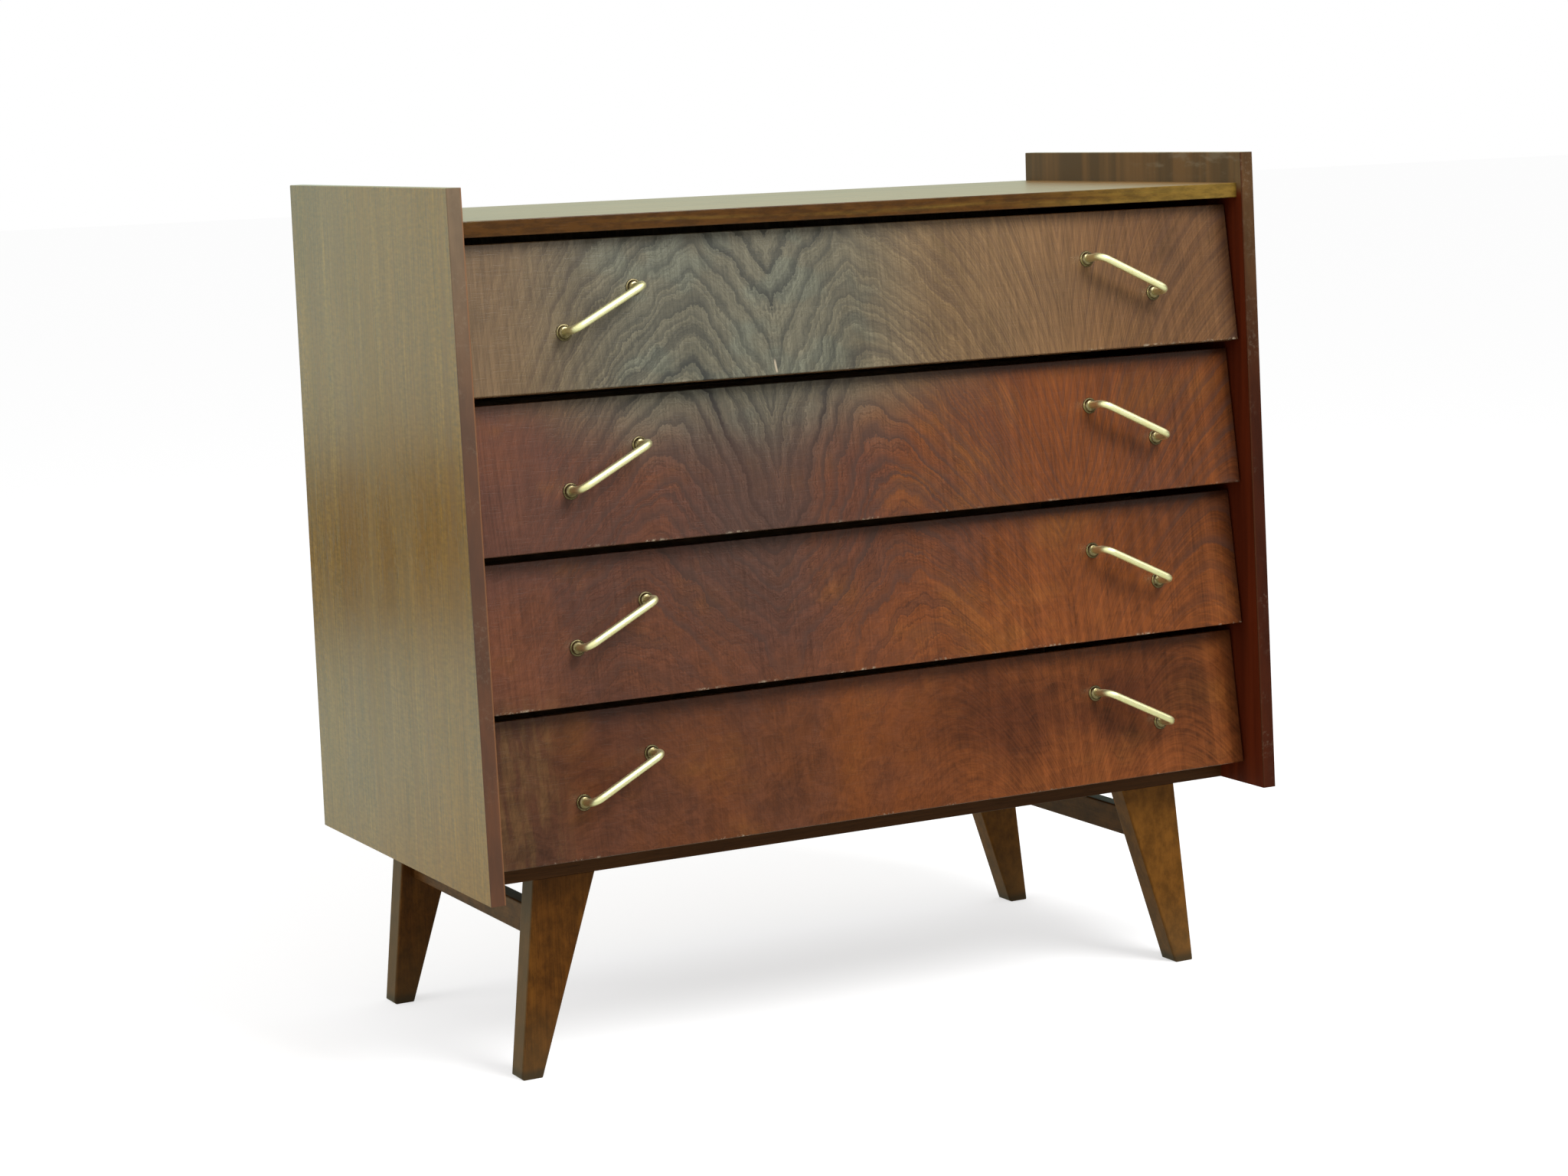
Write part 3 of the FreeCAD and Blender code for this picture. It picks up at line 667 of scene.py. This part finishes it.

# %% [markdown]
# On the painted sheen the ground is olive with cooler blots in the middle, and tan towards the ends.

# %% Painted sheen colour of the fronts
olive, tan, cool_patch = (0.178, 0.161, 0.109), (0.206, 0.138, 0.067), (0.168, 0.186, 0.140)


def sheen_patch_colour(place, browner):
    blots = ease(cloud(place, (15.0, 15.0, 20.0), 2.0), 0.50, 0.64)
    blots = times(blots, ease(browner, 0.0, 0.5, 0.45, 0.0))
    return tint(blots, tint(browner, olive, tan), cool_patch)


print("sheen_painted ground from", olive, "to", tan)

# %% [markdown]
# Over the colour lies the light and dark of the wood. Fibres and broad tones follow the folded
# leaf, a noise that is bent by other noises swirls in the lower drawers, and on the right bright
# streaks and the fan of the figure come out. The right end, the left middle and the lowest drawer
# are a little dimmer. All this is added up to one level that is about 1.

# %% Light and dark of the fronts
def grain_level(place, spot, figure, mottle):
    grain = use_group(straight_grain, Place=place_from(figure["Across"], spot["Z"]))
    fibres = ease(grain["Fibres"], 0.25, 0.75, -0.19, 0.20)
    fibres = times(fibres, ease(spot["Z"], 0.36, 0.44, 0.5, 1.0))
    tones = ease(figure["Tone"], 0.3, 0.7, -0.12, 0.12)
    hollows = ease(mottle, 0.28, 0.50, -0.18, 0.0)
    drift = place_from(cloud(place, (13.0, 13.0, 13.0), 2.0), 0.0, mottle)
    curl = {0: drift, 1: (0.14, 0.0, 0.16), 2: place}
    curled = put(tree_of(place), "ShaderNodeVectorMath", curl, operation="MULTIPLY_ADD").outputs[0]
    swirl = ease(cloud(curled, (48.0, 48.0, 90.0), 4.0, 0.66), 0.3, 0.7, -0.18, 0.15)
    swirl = times(swirl, ease(spot["Z"], 0.70, 0.40, 0.3, 1.0))
    bright = ease(grain["Streaks"], 0.40, 0.70, -0.08, 0.34)
    bright = times(bright, ease(spot["X"], 0.05, 0.20), ease(spot["Z"], 0.70, 0.67))
    fan = ease(figure["Fan"], 0.34, 0.66, -0.19, 0.18)
    fan = times(fan, ease(spot["X"], 0.0, 0.20, 0.35, 1.0))
    return plus(1.0, fibres, tones, hollows, swirl, bright, fan)


def dimness(spot):
    right = times(ease(spot["X"], 0.16, 0.42), ease(spot["Z"], 0.36, 0.44, 0.09, 0.21))
    left = ease(apart(spot["X"], -0.24), 0.07, 0.20, 0.11, 0.0)
    left = times(left, ease(spot["Z"], 0.54, 0.47))
    return plus(right, left, ease(spot["Z"], 0.40, 0.34, 0.0, 0.05))


print("levels of the fronts ready")

# %% [markdown]
# The face puts the layers together. The lines of the figure come last: grey under the painted sheen
# and brown elsewhere. The polish is satin, and rougher in the open grain of the dark lines.

# %% Face of a front
brown_line, grey_line = (0.045, 0.017, 0.010), (0.022, 0.023, 0.020)
right_redness = (1.07, 1.02, 0.98)


def face_colour(place, spot):
    figure = use_group(crown_figure, Place=place)
    sheen_share = use_group(painted_sheen_patch, Place=place)["Fade"]
    mottle = cloud(place, (8.0, 8.0, 12.0), 4.0, 0.6)
    browner = ease(apart(spot["X"], -0.16), 0.10, 0.27)
    colour = ground_colour(place, spot, figure, mottle)
    # Painted sheen: the grey-olive patch stands in for the reflection on the upper fronts.
    colour = tint(sheen_share, colour, sheen_patch_colour(place, browner))
    bright = work("SUBTRACT", 1.0, dimness(spot))
    colour = shaded(colour, times(grain_level(place, spot, figure, mottle), bright))
    colour = tint(ease(spot["X"], -0.12, 0.06), colour, right_redness, "MULTIPLY")
    greyed = times(sheen_share, work("SUBTRACT", 1.0, browner))
    line = tint(greyed, brown_line, grey_line)
    hairs = times(figure["Hairlines"], ease(spot["Z"], 0.70, 0.58, 0.36, 0.58))
    colour = tint(hairs, colour, line)
    colour = tint(figure["Lines"], colour, line)
    return colour, ease(figure["Lines"], 0.0, 0.8, 0.27, 0.48)


print("lines from", brown_line, "to", grey_line)

# %% [markdown]
# The fronts get a painted shadow, darker right ends and a chip. The painted shadow darkens the
# tops of the lower fronts and the right of the second one under the lips above them, and it is
# near black at the very tops of the second and third fronts, towards their right. The right ends
# are darker too. And a sliver of veneer is missing at the seam of the top drawer.

# %% Painted shadow, dark right ends and a chip on the fronts
darkening_brown = (0.022, 0.006, 0.003)


def lip_shadow_and_dark_ends(spot, up):
    lower_right = times(ease(spot["X"], 0.04, 0.40), ease(spot["Z"], 0.72, 0.70))
    where = work("MAXIMUM", ease(spot["Z"], 0.70, 0.42, 0.0, 0.75), lower_right)
    # Painted shadow under the lip of the drawer above.
    painted_lip_shadow = times(ease(up, 0.124, 0.149, 0.0, 0.48), where)
    # Painted shadow, near black, at the very top of the second and third fronts.
    painted_deep_shadow = times(
        ease(up, 0.135, 0.147, 0.0, 0.85), ease(spot["X"], -0.22, 0.20),
        ease(spot["Z"], 0.40, 0.50), ease(spot["Z"], 0.76, 0.72))
    # The last 30 mm at the right end are darker.
    right_end = ease(spot["X"], 0.428, 0.458, 0.0, 0.62)
    return work("MAXIMUM", work("MAXIMUM", painted_lip_shadow, painted_deep_shadow), right_end)


def missing_sliver(spot, up):
    slant = work("MULTIPLY_ADD", up, 0.10, 0.1185)
    beside = work("ABSOLUTE", plus(spot["X"], slant))
    return times(
        ease(beside, 0.0006, 0.0016, 0.85, 0.0), ease(up, 0.012, 0.018, 1.0, 0.0),
        ease(up, 0.001, 0.004))


print("grime and chip ready")

# %% [markdown]
# Each front leans forward at its foot, like the slats of a blind. A point on it has a height up
# the slope and a depth behind the face, and both follow from where the lower front edge lies and
# from the angle of the lean. The face takes the painted veneer, the edges and the back are plain
# wood, and the upper edge is left paler.

# %% Drawer-front veneer
lip_y, top_lip, drawer_pitch, lean = -0.19886, 0.706, 0.158, math.radians(9.0)
lip_heights = {number: top_lip - drawer_pitch * (number - 1) for number in (1, 2, 3, 4)}
inner_light, inner_dark, top_edge = (0.260, 0.140, 0.055), (0.150, 0.072, 0.030), (0.290, 0.150, 0.064)


def front_veneer(number):
    material, tree, shader = new_finish(f"drawer_{number}_veneer", 0.27, 0.28)
    place, spot = place_of(tree)
    rise = work("SUBTRACT", spot["Z"], lip_heights[number])
    back = work("SUBTRACT", spot["Y"], lip_y)
    up = work("MULTIPLY_ADD", rise, math.cos(lean), times(back, math.sin(lean)))
    deep = work("MULTIPLY_ADD", rise, -math.sin(lean), times(back, math.cos(lean)))
    colour, rough = face_colour(place, spot)
    # Painted light: the lower right of the second to fourth fronts is up to 14 per cent lighter, where
    # they catch more light below the lip above.
    lit_low_right = times(
        ease(spot["X"], 0.02, 0.36), ease(up, 0.085, 0.012),
        ease(spot["Z"], 0.71, 0.69))
    colour = shaded(colour, work("MULTIPLY_ADD", lit_low_right, 0.14, 1.0))
    # Painted shadow under the lips, and darker right ends.
    colour = tint(lip_shadow_and_dark_ends(spot, up), colour, darkening_brown)
    plain, bump = grained(place_of(tree, "ZXY")[0], inner_light, inner_dark, brown_line)
    plain = tint(ease(up, 0.1455, 0.1462), plain, top_edge)
    colour = tint(ease(deep, 0.0009, 0.0014), colour, plain)
    wear = use_group(worn_edge, Place=place, Distance=up, Width=0.0034)["Wear"]
    colour = tint(times(wear, 0.8), colour, bare_wood)
    if number == 1:
        colour = tint(missing_sliver(spot, up), colour, bare_wood)
    dress(shader, colour, bump)
    feed(shader["Roughness"], rough)
    return material


front_veneers = {number: front_veneer(number) for number in lip_heights}
print("drawer veneers:", [material.name for material in front_veneers.values()])

# %% [markdown]
# ## Legs and rails
# The legs and rails are solid wood, darker than the panels, with upright grain in the legs. As
# painted light from the right, the right-hand legs are lighter and warmer, and the right rail a
# little. The outer faces carry a pale painted reflection, the lowest 10 cm of each leg is dusted
# paler, and all the feet are scuffed. The outer faces are splayed, so the distance from them
# follows from the height.

# %% Leg wood
leg_tones = (0.127, 0.047, 0.006), (0.094, 0.032, 0.004), (0.040, 0.014, 0.003)
rail_tones = (0.140, 0.058, 0.014), (0.092, 0.036, 0.008), (0.040, 0.016, 0.004)
right_light_gold, scuffed, dust_and_sheen = (0.184, 0.074, 0.010), (0.045, 0.036, 0.020), (0.150, 0.100, 0.045)
leg_foot, leg_splay = 0.4164, -0.0222 / 0.207


def leg_finish(name, order, tones, right_light_share):
    material, tree, shader = new_finish(name, 0.38, 0.09)
    place, spot = place_of(tree, order)
    colour, bump = grained(place, *tones)
    # Painted light: lighter and warmer towards the right.
    colour = tint(ease(spot["X"], -0.25, 0.35, 0.0, right_light_share), colour, right_light_gold)
    blotches = cloud(place, (70.0, 45.0, 70.0), 4.0, 0.7)
    colour = shaded(colour, ease(blotches, 0.3, 0.7, 0.70, 1.27))
    outer_line = work("MULTIPLY_ADD", spot["Z"], leg_splay, leg_foot)
    from_outer = work("SUBTRACT", outer_line, work("ABSOLUTE", spot["X"]))
    # Pale painted reflection on the outer faces, and the feet dusted paler.
    on_outer = ease(from_outer, 0.0004, 0.0010, 0.55, 0.0)
    dust_and_sheen_share = work("MAXIMUM", on_outer, ease(spot["Z"], 0.0, 0.10, 0.30, 0.0))
    colour = tint(dust_and_sheen_share, colour, dust_and_sheen)
    ragged = work("MULTIPLY_ADD", blotches, -0.016, spot["Z"])
    colour = tint(ease(ragged, -0.004, 0.006, 0.75, 0.0), colour, scuffed)
    dress(shader, colour, bump)
    return material


leg_wood = leg_finish("leg_wood", "XZY", leg_tones, 0.62)
rail_wood = leg_finish("rail_wood", "ZYX", rail_tones, 0.12)
print("leg woods:", leg_wood.name, rail_wood.name)

# %% [markdown]
# ## Drawer boxes, runners and back
# The drawer boxes are pale beech, which the open drawers show, their floors and the back of the
# chest are thin plywood, and the runners are plain hardwood, waxed by use. They differ only in
# tones and in the way the grain runs.

# %% Box and runner woods
beech = (0.560, 0.400, 0.235), (0.430, 0.290, 0.155), (0.300, 0.185, 0.090)
ply = (0.520, 0.380, 0.230), (0.380, 0.255, 0.140), (0.250, 0.160, 0.085)
runner_tones = (0.400, 0.260, 0.130), (0.280, 0.165, 0.075), (0.170, 0.095, 0.045)
box_side_wood = plain_wood("box_side_wood", "ZYX", *beech, 0.50)
box_back_wood = plain_wood("box_back_wood", "ZXY", *beech, 0.50)
drawer_floor_ply = plain_wood("drawer_floor_ply", "YXZ", *ply, 0.55)
runner_wood = plain_wood("runner_wood", "ZYX", *runner_tones, 0.42)
print("woods made:", len([m for m in bpy.data.materials if "wood" in m.name or "ply" in m.name]))

# %% [markdown]
# The back panel is held by a row of steel pins along each edge. A pin head is only a few
# millimetres wide and flush, so the heads are painted: ping-pong repeats them along the rows, and
# the distance from the nearest one gives the head and a dark ring round it.

# %% Back panel with its pins
back_middle, pin_column, pin_row = 0.542, 0.459, 0.319
column_pitch, row_pitch = 0.0532, 0.0510
pin_steel = (0.190, 0.185, 0.175)
back_ply, tree, shader = new_finish("back_ply", 0.55)
place, spot = place_of(tree, "XZY")
colour, bump = grained(place, *ply)
wide = work("ABSOLUTE", spot["X"])
tall = work("SUBTRACT", spot["Z"], back_middle)
side_pins = hypotenuse(apart(wide, pin_column), work("PINGPONG", tall, column_pitch))
from_row = apart(work("ABSOLUTE", tall), pin_row)
end_pins = hypotenuse(from_row, work("PINGPONG", wide, row_pitch))
from_pin = work("MINIMUM", side_pins, end_pins)
outside = ease(spot["Y"], 0.2322, 0.2328)
ring = times(ease(from_pin, 0.0018, 0.0042, 0.55, 0.0), outside)
head = times(ease(from_pin, 0.0016, 0.0020, 1.0, 0.0), outside)
dress(shader, tint(head, tint(ring, colour, ply[2]), pin_steel), bump)
print("pins every", column_pitch * 2, "m up the sides and every", row_pitch * 2, "m along the ends")

# %% [markdown]
# Every board of the frame now gets its finish. The boards are not changed: only the material in
# the slot of each one is.

# %% Finish the boards
finishes = {
    "left_side_panel": left_veneer, "right_side_panel": right_veneer,
    "top_panel": top_veneer, "bottom_panel": bottom_shade_veneer, "back_panel": back_ply,
    "left_side_rail": rail_wood, "right_side_rail": rail_wood}
for corner in ("front_left", "front_right", "rear_left", "rear_right"):
    finishes[f"{corner}_leg"] = leg_wood
for number in lip_heights:
    finishes[f"drawer_{number}_front"] = front_veneers[number]
    finishes[f"drawer_{number}_back"] = box_back_wood
    finishes[f"drawer_{number}_bottom"] = drawer_floor_ply
    for side in ("left", "right"):
        finishes[f"drawer_{number}_{side}_side"] = box_side_wood
        finishes[f"runner_{side}_{number}"] = runner_wood
for name, material in finishes.items():
    nodes[name].material_slots[0].material = material
print("boards finished:", len(finishes), "of", len(nodes))

# %% [markdown]
# ## Brass and steel
# The handles are bent from polished brass rod that has gone a little dull. A metal gets its look
# from what it mirrors, so the shader is fully metallic, and noise only shifts the colour towards
# tarnish and roughens it in patches. The collars are never rubbed by a hand, so their brass has
# gone much darker. The screws inside are plain zinc-plated steel.

# %% Metals
def metal(name, bright, dull, low, high, patch):
    material, tree, shader = new_finish(name, low)
    shader["Metallic"].default_value = 1.0
    place = place_of(tree)[0]
    patches = ease(cloud(place, (patch, patch, patch), 4.0, 0.6), 0.42, 0.70)
    feed(shader["Roughness"], ease(patches, 0.0, 1.0, low, high))
    scratches = cloud(place, (1400.0, 1400.0, 1400.0), 1.0)
    bump = put(tree, "ShaderNodeBump", {"Strength": 0.04, "Distance": 0.0002, "Height": scratches})
    dress(shader, tint(patches, bright, dull), bump.outputs[0])
    return material


brass = metal("brass", (0.95, 0.94, 0.60), (0.88, 0.83, 0.48), 0.42, 0.50, 120.0)
aged_brass = metal("aged_brass", (0.24, 0.20, 0.11), (0.085, 0.066, 0.034), 0.20, 0.36, 160.0)
steel = metal("steel", (0.62, 0.62, 0.60), (0.40, 0.39, 0.37), 0.28, 0.45, 300.0)
print("metals:", brass.name, aged_brass.name, steel.name)

# %% [markdown]
# ## Places on a drawer front
# Fittings are modelled flat at the origin with Z pointing out of the wood, and then set on the
# sloping fronts. A matrix for each drawer does that: X stays, Y runs up the slope and Z leaves
# the face. The placing is applied to the mesh, so that each piece ends with its object at the
# origin, and each copy has a mesh of its own.

# %% Front places
def front_place(number, x, up, depth=0.0, turn=0.0):
    slope = Matrix((
        (1.0, 0.0, 0.0, 0.0),
        (0.0, math.sin(lean), -math.cos(lean), lip_y),
        (0.0, math.cos(lean), math.sin(lean), lip_heights[number]),
        (0.0, 0.0, 0.0, 1.0)))
    return slope @ Matrix.Translation((x, up, -depth)) @ Matrix.Rotation(turn, 4, "Z")


def choose(*objects):
    bpy.ops.object.select_all(action="DESELECT")
    for thing in objects:
        thing.select_set(True)
    bpy.context.view_layer.objects.active = objects[0]


def settle(thing, place=None):
    choose(thing)
    if place is not None:
        thing.matrix_world = place
    bpy.ops.object.transform_apply(location=True, rotation=True, scale=True)
    return thing


def copy_of(model, name, place):
    piece = model.copy()
    piece.data = model.data.copy()
    piece.name = piece.data.name = name
    bpy.context.collection.objects.link(piece)
    return settle(piece, place)


def joined(pieces):
    choose(*pieces)
    bpy.ops.object.join()
    return bpy.context.object


foot_x, foot_up = (0.35096, 0.27004), (0.05774, 0.09826)
handle_x, handle_up = sum(foot_x) / 2, sum(foot_up) / 2
handle_turn = math.atan2(foot_up[1] - foot_up[0], foot_x[0] - foot_x[1])
print("handles lean by", round(math.degrees(handle_turn), 1), "degrees")

# %% [markdown]
# ## Bent-rod handles
# Each handle is one brass rod bent twice: a post, a bend, the bar, a bend and a second post. A
# curve with a bevel would do, but the way a rod is really bent can be followed: a disc is
# extruded into the post, spun round the centre of the bend, extruded along the bar, and so on.
# After spinning, doubles are merged and the faces turned outwards.

# %% Model one handle
rod, reach, bend, collar_height = 0.004, 0.028, 0.010, 0.0045
half_span = math.hypot(foot_x[0] - foot_x[1], foot_up[1] - foot_up[0]) / 2.0
post, bar = reach - bend - collar_height, 2.0 * (half_span - bend)


def start_disc(points, radius, place=(0.0, 0.0, 0.0)):
    bpy.ops.object.select_all(action="DESELECT")
    bpy.ops.mesh.primitive_circle_add(vertices=points, radius=radius, fill_type="NGON", location=place)
    bpy.ops.object.mode_set(mode="EDIT")
    bpy.ops.mesh.select_all(action="SELECT")
    return bpy.context.object


def lengthen(*value):
    bpy.ops.mesh.extrude_region_move(TRANSFORM_OT_translate={"value": value})


def bend_round(x):
    bpy.ops.mesh.spin(steps=14, angle=-math.pi / 2, center=(x, 0.0, reach - bend), axis=(0.0, 1.0, 0.0))


def close(piece):
    bpy.ops.mesh.select_all(action="SELECT")
    bpy.ops.mesh.normals_make_consistent(inside=False)
    bpy.ops.object.mode_set(mode="OBJECT")
    settle(piece)


def polish(piece, angle, material):
    bpy.ops.object.shade_smooth_by_angle(angle=math.radians(angle))
    piece.data.materials.append(material)


handle = start_disc(32, rod, (-half_span, 0.0, collar_height))
lengthen(0.0, 0.0, post)
bend_round(bend - half_span)
lengthen(bar, 0.0, 0.0)
bend_round(half_span - bend)
lengthen(0.0, 0.0, -post)
bpy.ops.mesh.select_all(action="SELECT")
bpy.ops.mesh.remove_doubles(threshold=0.000001)
close(handle)
polish(handle, 40.0, brass)
print("handle is", [round(1000 * side, 1) for side in handle.dimensions], "mm")

# %% [markdown]
# A drawer has a handle on the left and one on the right that is turned the other way. Each is a copy
# of the one rod, takes the place of the plain rod of the frame and rides on its drawer.

# %% Set the handles on the drawers
for number in lip_heights:
    for side, sign in (("left", -1.0), ("right", 1.0)):
        place = front_place(number, sign * handle_x, handle_up, 0.0, -sign * handle_turn)
        piece = copy_of(handle, f"bent_handle_{side}_{number}", place)
        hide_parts(f"handle_{side}_{number}")
        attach(piece, f"drawer_{number}")
bpy.data.objects.remove(handle)

# %% [markdown]
# ## Collars
# Each post stands on a small turned collar: a rim, a narrow step and a low dome. On the lathe
# this is one profile, and here it grows from a disc the same way, ring by ring: each ring is
# extruded upwards and scaled in or out to the next radius of the profile.

# %% Model one collar
profile = ((0.00850, 0.0010), (0.00815, 0.0014), (0.00720, 0.0015), (0.00690, 0.0019),
           (0.00675, 0.0026), (0.00620, 0.0035), (0.00540, 0.0042), (0.00470, collar_height))
radius, top = profile[0][0], 0.0
collar = start_disc(40, radius)
for ring_radius, ring_top in profile:
    lengthen(0.0, 0.0, ring_top - top)
    share = ring_radius / radius
    bpy.ops.transform.resize(value=(share, share, 1.0), center_override=(0.0, 0.0, ring_top))
    radius, top = ring_radius, ring_top
close(collar)
polish(collar, 35.0, aged_brass)
print("collar is", [round(1000 * side, 2) for side in collar.dimensions], "mm")

# %% [markdown]
# The four collars of a drawer are one part of the frame, so their copies are joined. The screws
# behind them come in fours too, so a function sets either kind.

# %% Set the collars in fours
def fours(model, name, number, depth=0.0, flip=0.0):
    four = []
    for sign in (-1.0, 1.0):
        for x, up in zip(foot_x, foot_up):
            place = front_place(number, sign * x, up, depth) @ Matrix.Rotation(flip, 4, "X")
            four.append(copy_of(model, name, place))
    return joined(four)


for number in lip_heights:
    piece = fours(collar, f"turned_collars_{number}", number)
    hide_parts(f"handle_rosettes_{number}")
    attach(piece, f"drawer_{number}")
bpy.data.objects.remove(collar)
print("collars set:", 4 * len(lip_heights))

# %% [markdown]
# ## Screws
# The handles are held by screws through the fronts, and screws hold the runners and the legs.
# Their slotted heads show when a drawer is pulled out. One head is modelled: a disc is extruded,
# its rim bevelled, and a thin block cut out of it with a Boolean modifier for the slot.

# %% Model one screw head
head_radius, head_height, rim = 0.0038, 0.0020, 0.0007
slot_size = (0.0090, 0.0011, 0.0018)
screw = start_disc(20, head_radius)
lengthen(0.0, 0.0, head_height)
bpy.ops.mesh.bevel(offset=rim, segments=2, affect="EDGES")
close(screw)
bpy.ops.mesh.primitive_cube_add(size=1.0, location=(0.0, 0.0, head_height), scale=slot_size)
slot_cutter = bpy.context.object
choose(screw)
cut = screw.modifiers.new("slot", "BOOLEAN")
cut.object = slot_cutter
cut.operation = "DIFFERENCE"
cut.solver = "EXACT"
bpy.ops.object.modifier_apply(modifier=cut.name)
bpy.data.objects.remove(slot_cutter)
polish(screw, 30.0, steel)
print("screw head has", len(screw.data.polygons), "faces")

# %% [markdown]
# The handle screws come from inside the drawer, so their heads are turned over and sit on the back
# of the front.

# %% Set the handle screws
front_thick = 0.016
for number in lip_heights:
    piece = fours(screw, f"handle_screws_{number}", number, front_thick, math.pi)
    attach(piece, f"drawer_{number}")
print("handle screws:", 4 * len(lip_heights))

# %% [markdown]
# The runner screws are sunk into the runners, so only the flat of the head shows, and the leg
# screws stand on the floor of the case. They are copies of the same head, joined into two pieces.

# %% Set the runner and leg screws
runner_x, runner_up, runner_ends = 0.4518, 0.068, (-0.1276, 0.1810)
leg_x, leg_ends, case_floor = 0.35945, (-0.138, 0.214), 0.223
pair_steps, slot_turns = (-0.018, 0.018), (0.16, 1.24)
sunk, standing = [], []
for number, lip_z in lip_heights.items():
    for sign in (-1.0, 1.0):
        for y in runner_ends:
            turn = Matrix.Rotation(-sign * math.pi / 2, 4, "Y")
            place = Matrix.Translation((sign * runner_x, y, lip_z + runner_up)) @ turn
            sunk.append(copy_of(screw, "runner_screws", place))
for sign in (-1.0, 1.0):
    for y in leg_ends:
        for step, slot_turn in zip(pair_steps, slot_turns):
            turn = Matrix.Rotation(slot_turn, 4, "Z")
            place = Matrix.Translation((sign * leg_x + step, y, case_floor)) @ turn
            standing.append(copy_of(screw, "leg_screws", place))
for screws in (sunk, standing):
    piece = joined(screws)
    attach(piece, "carcass")
bpy.data.objects.remove(screw)
print("runner screws:", len(sunk), "leg screws:", len(standing))
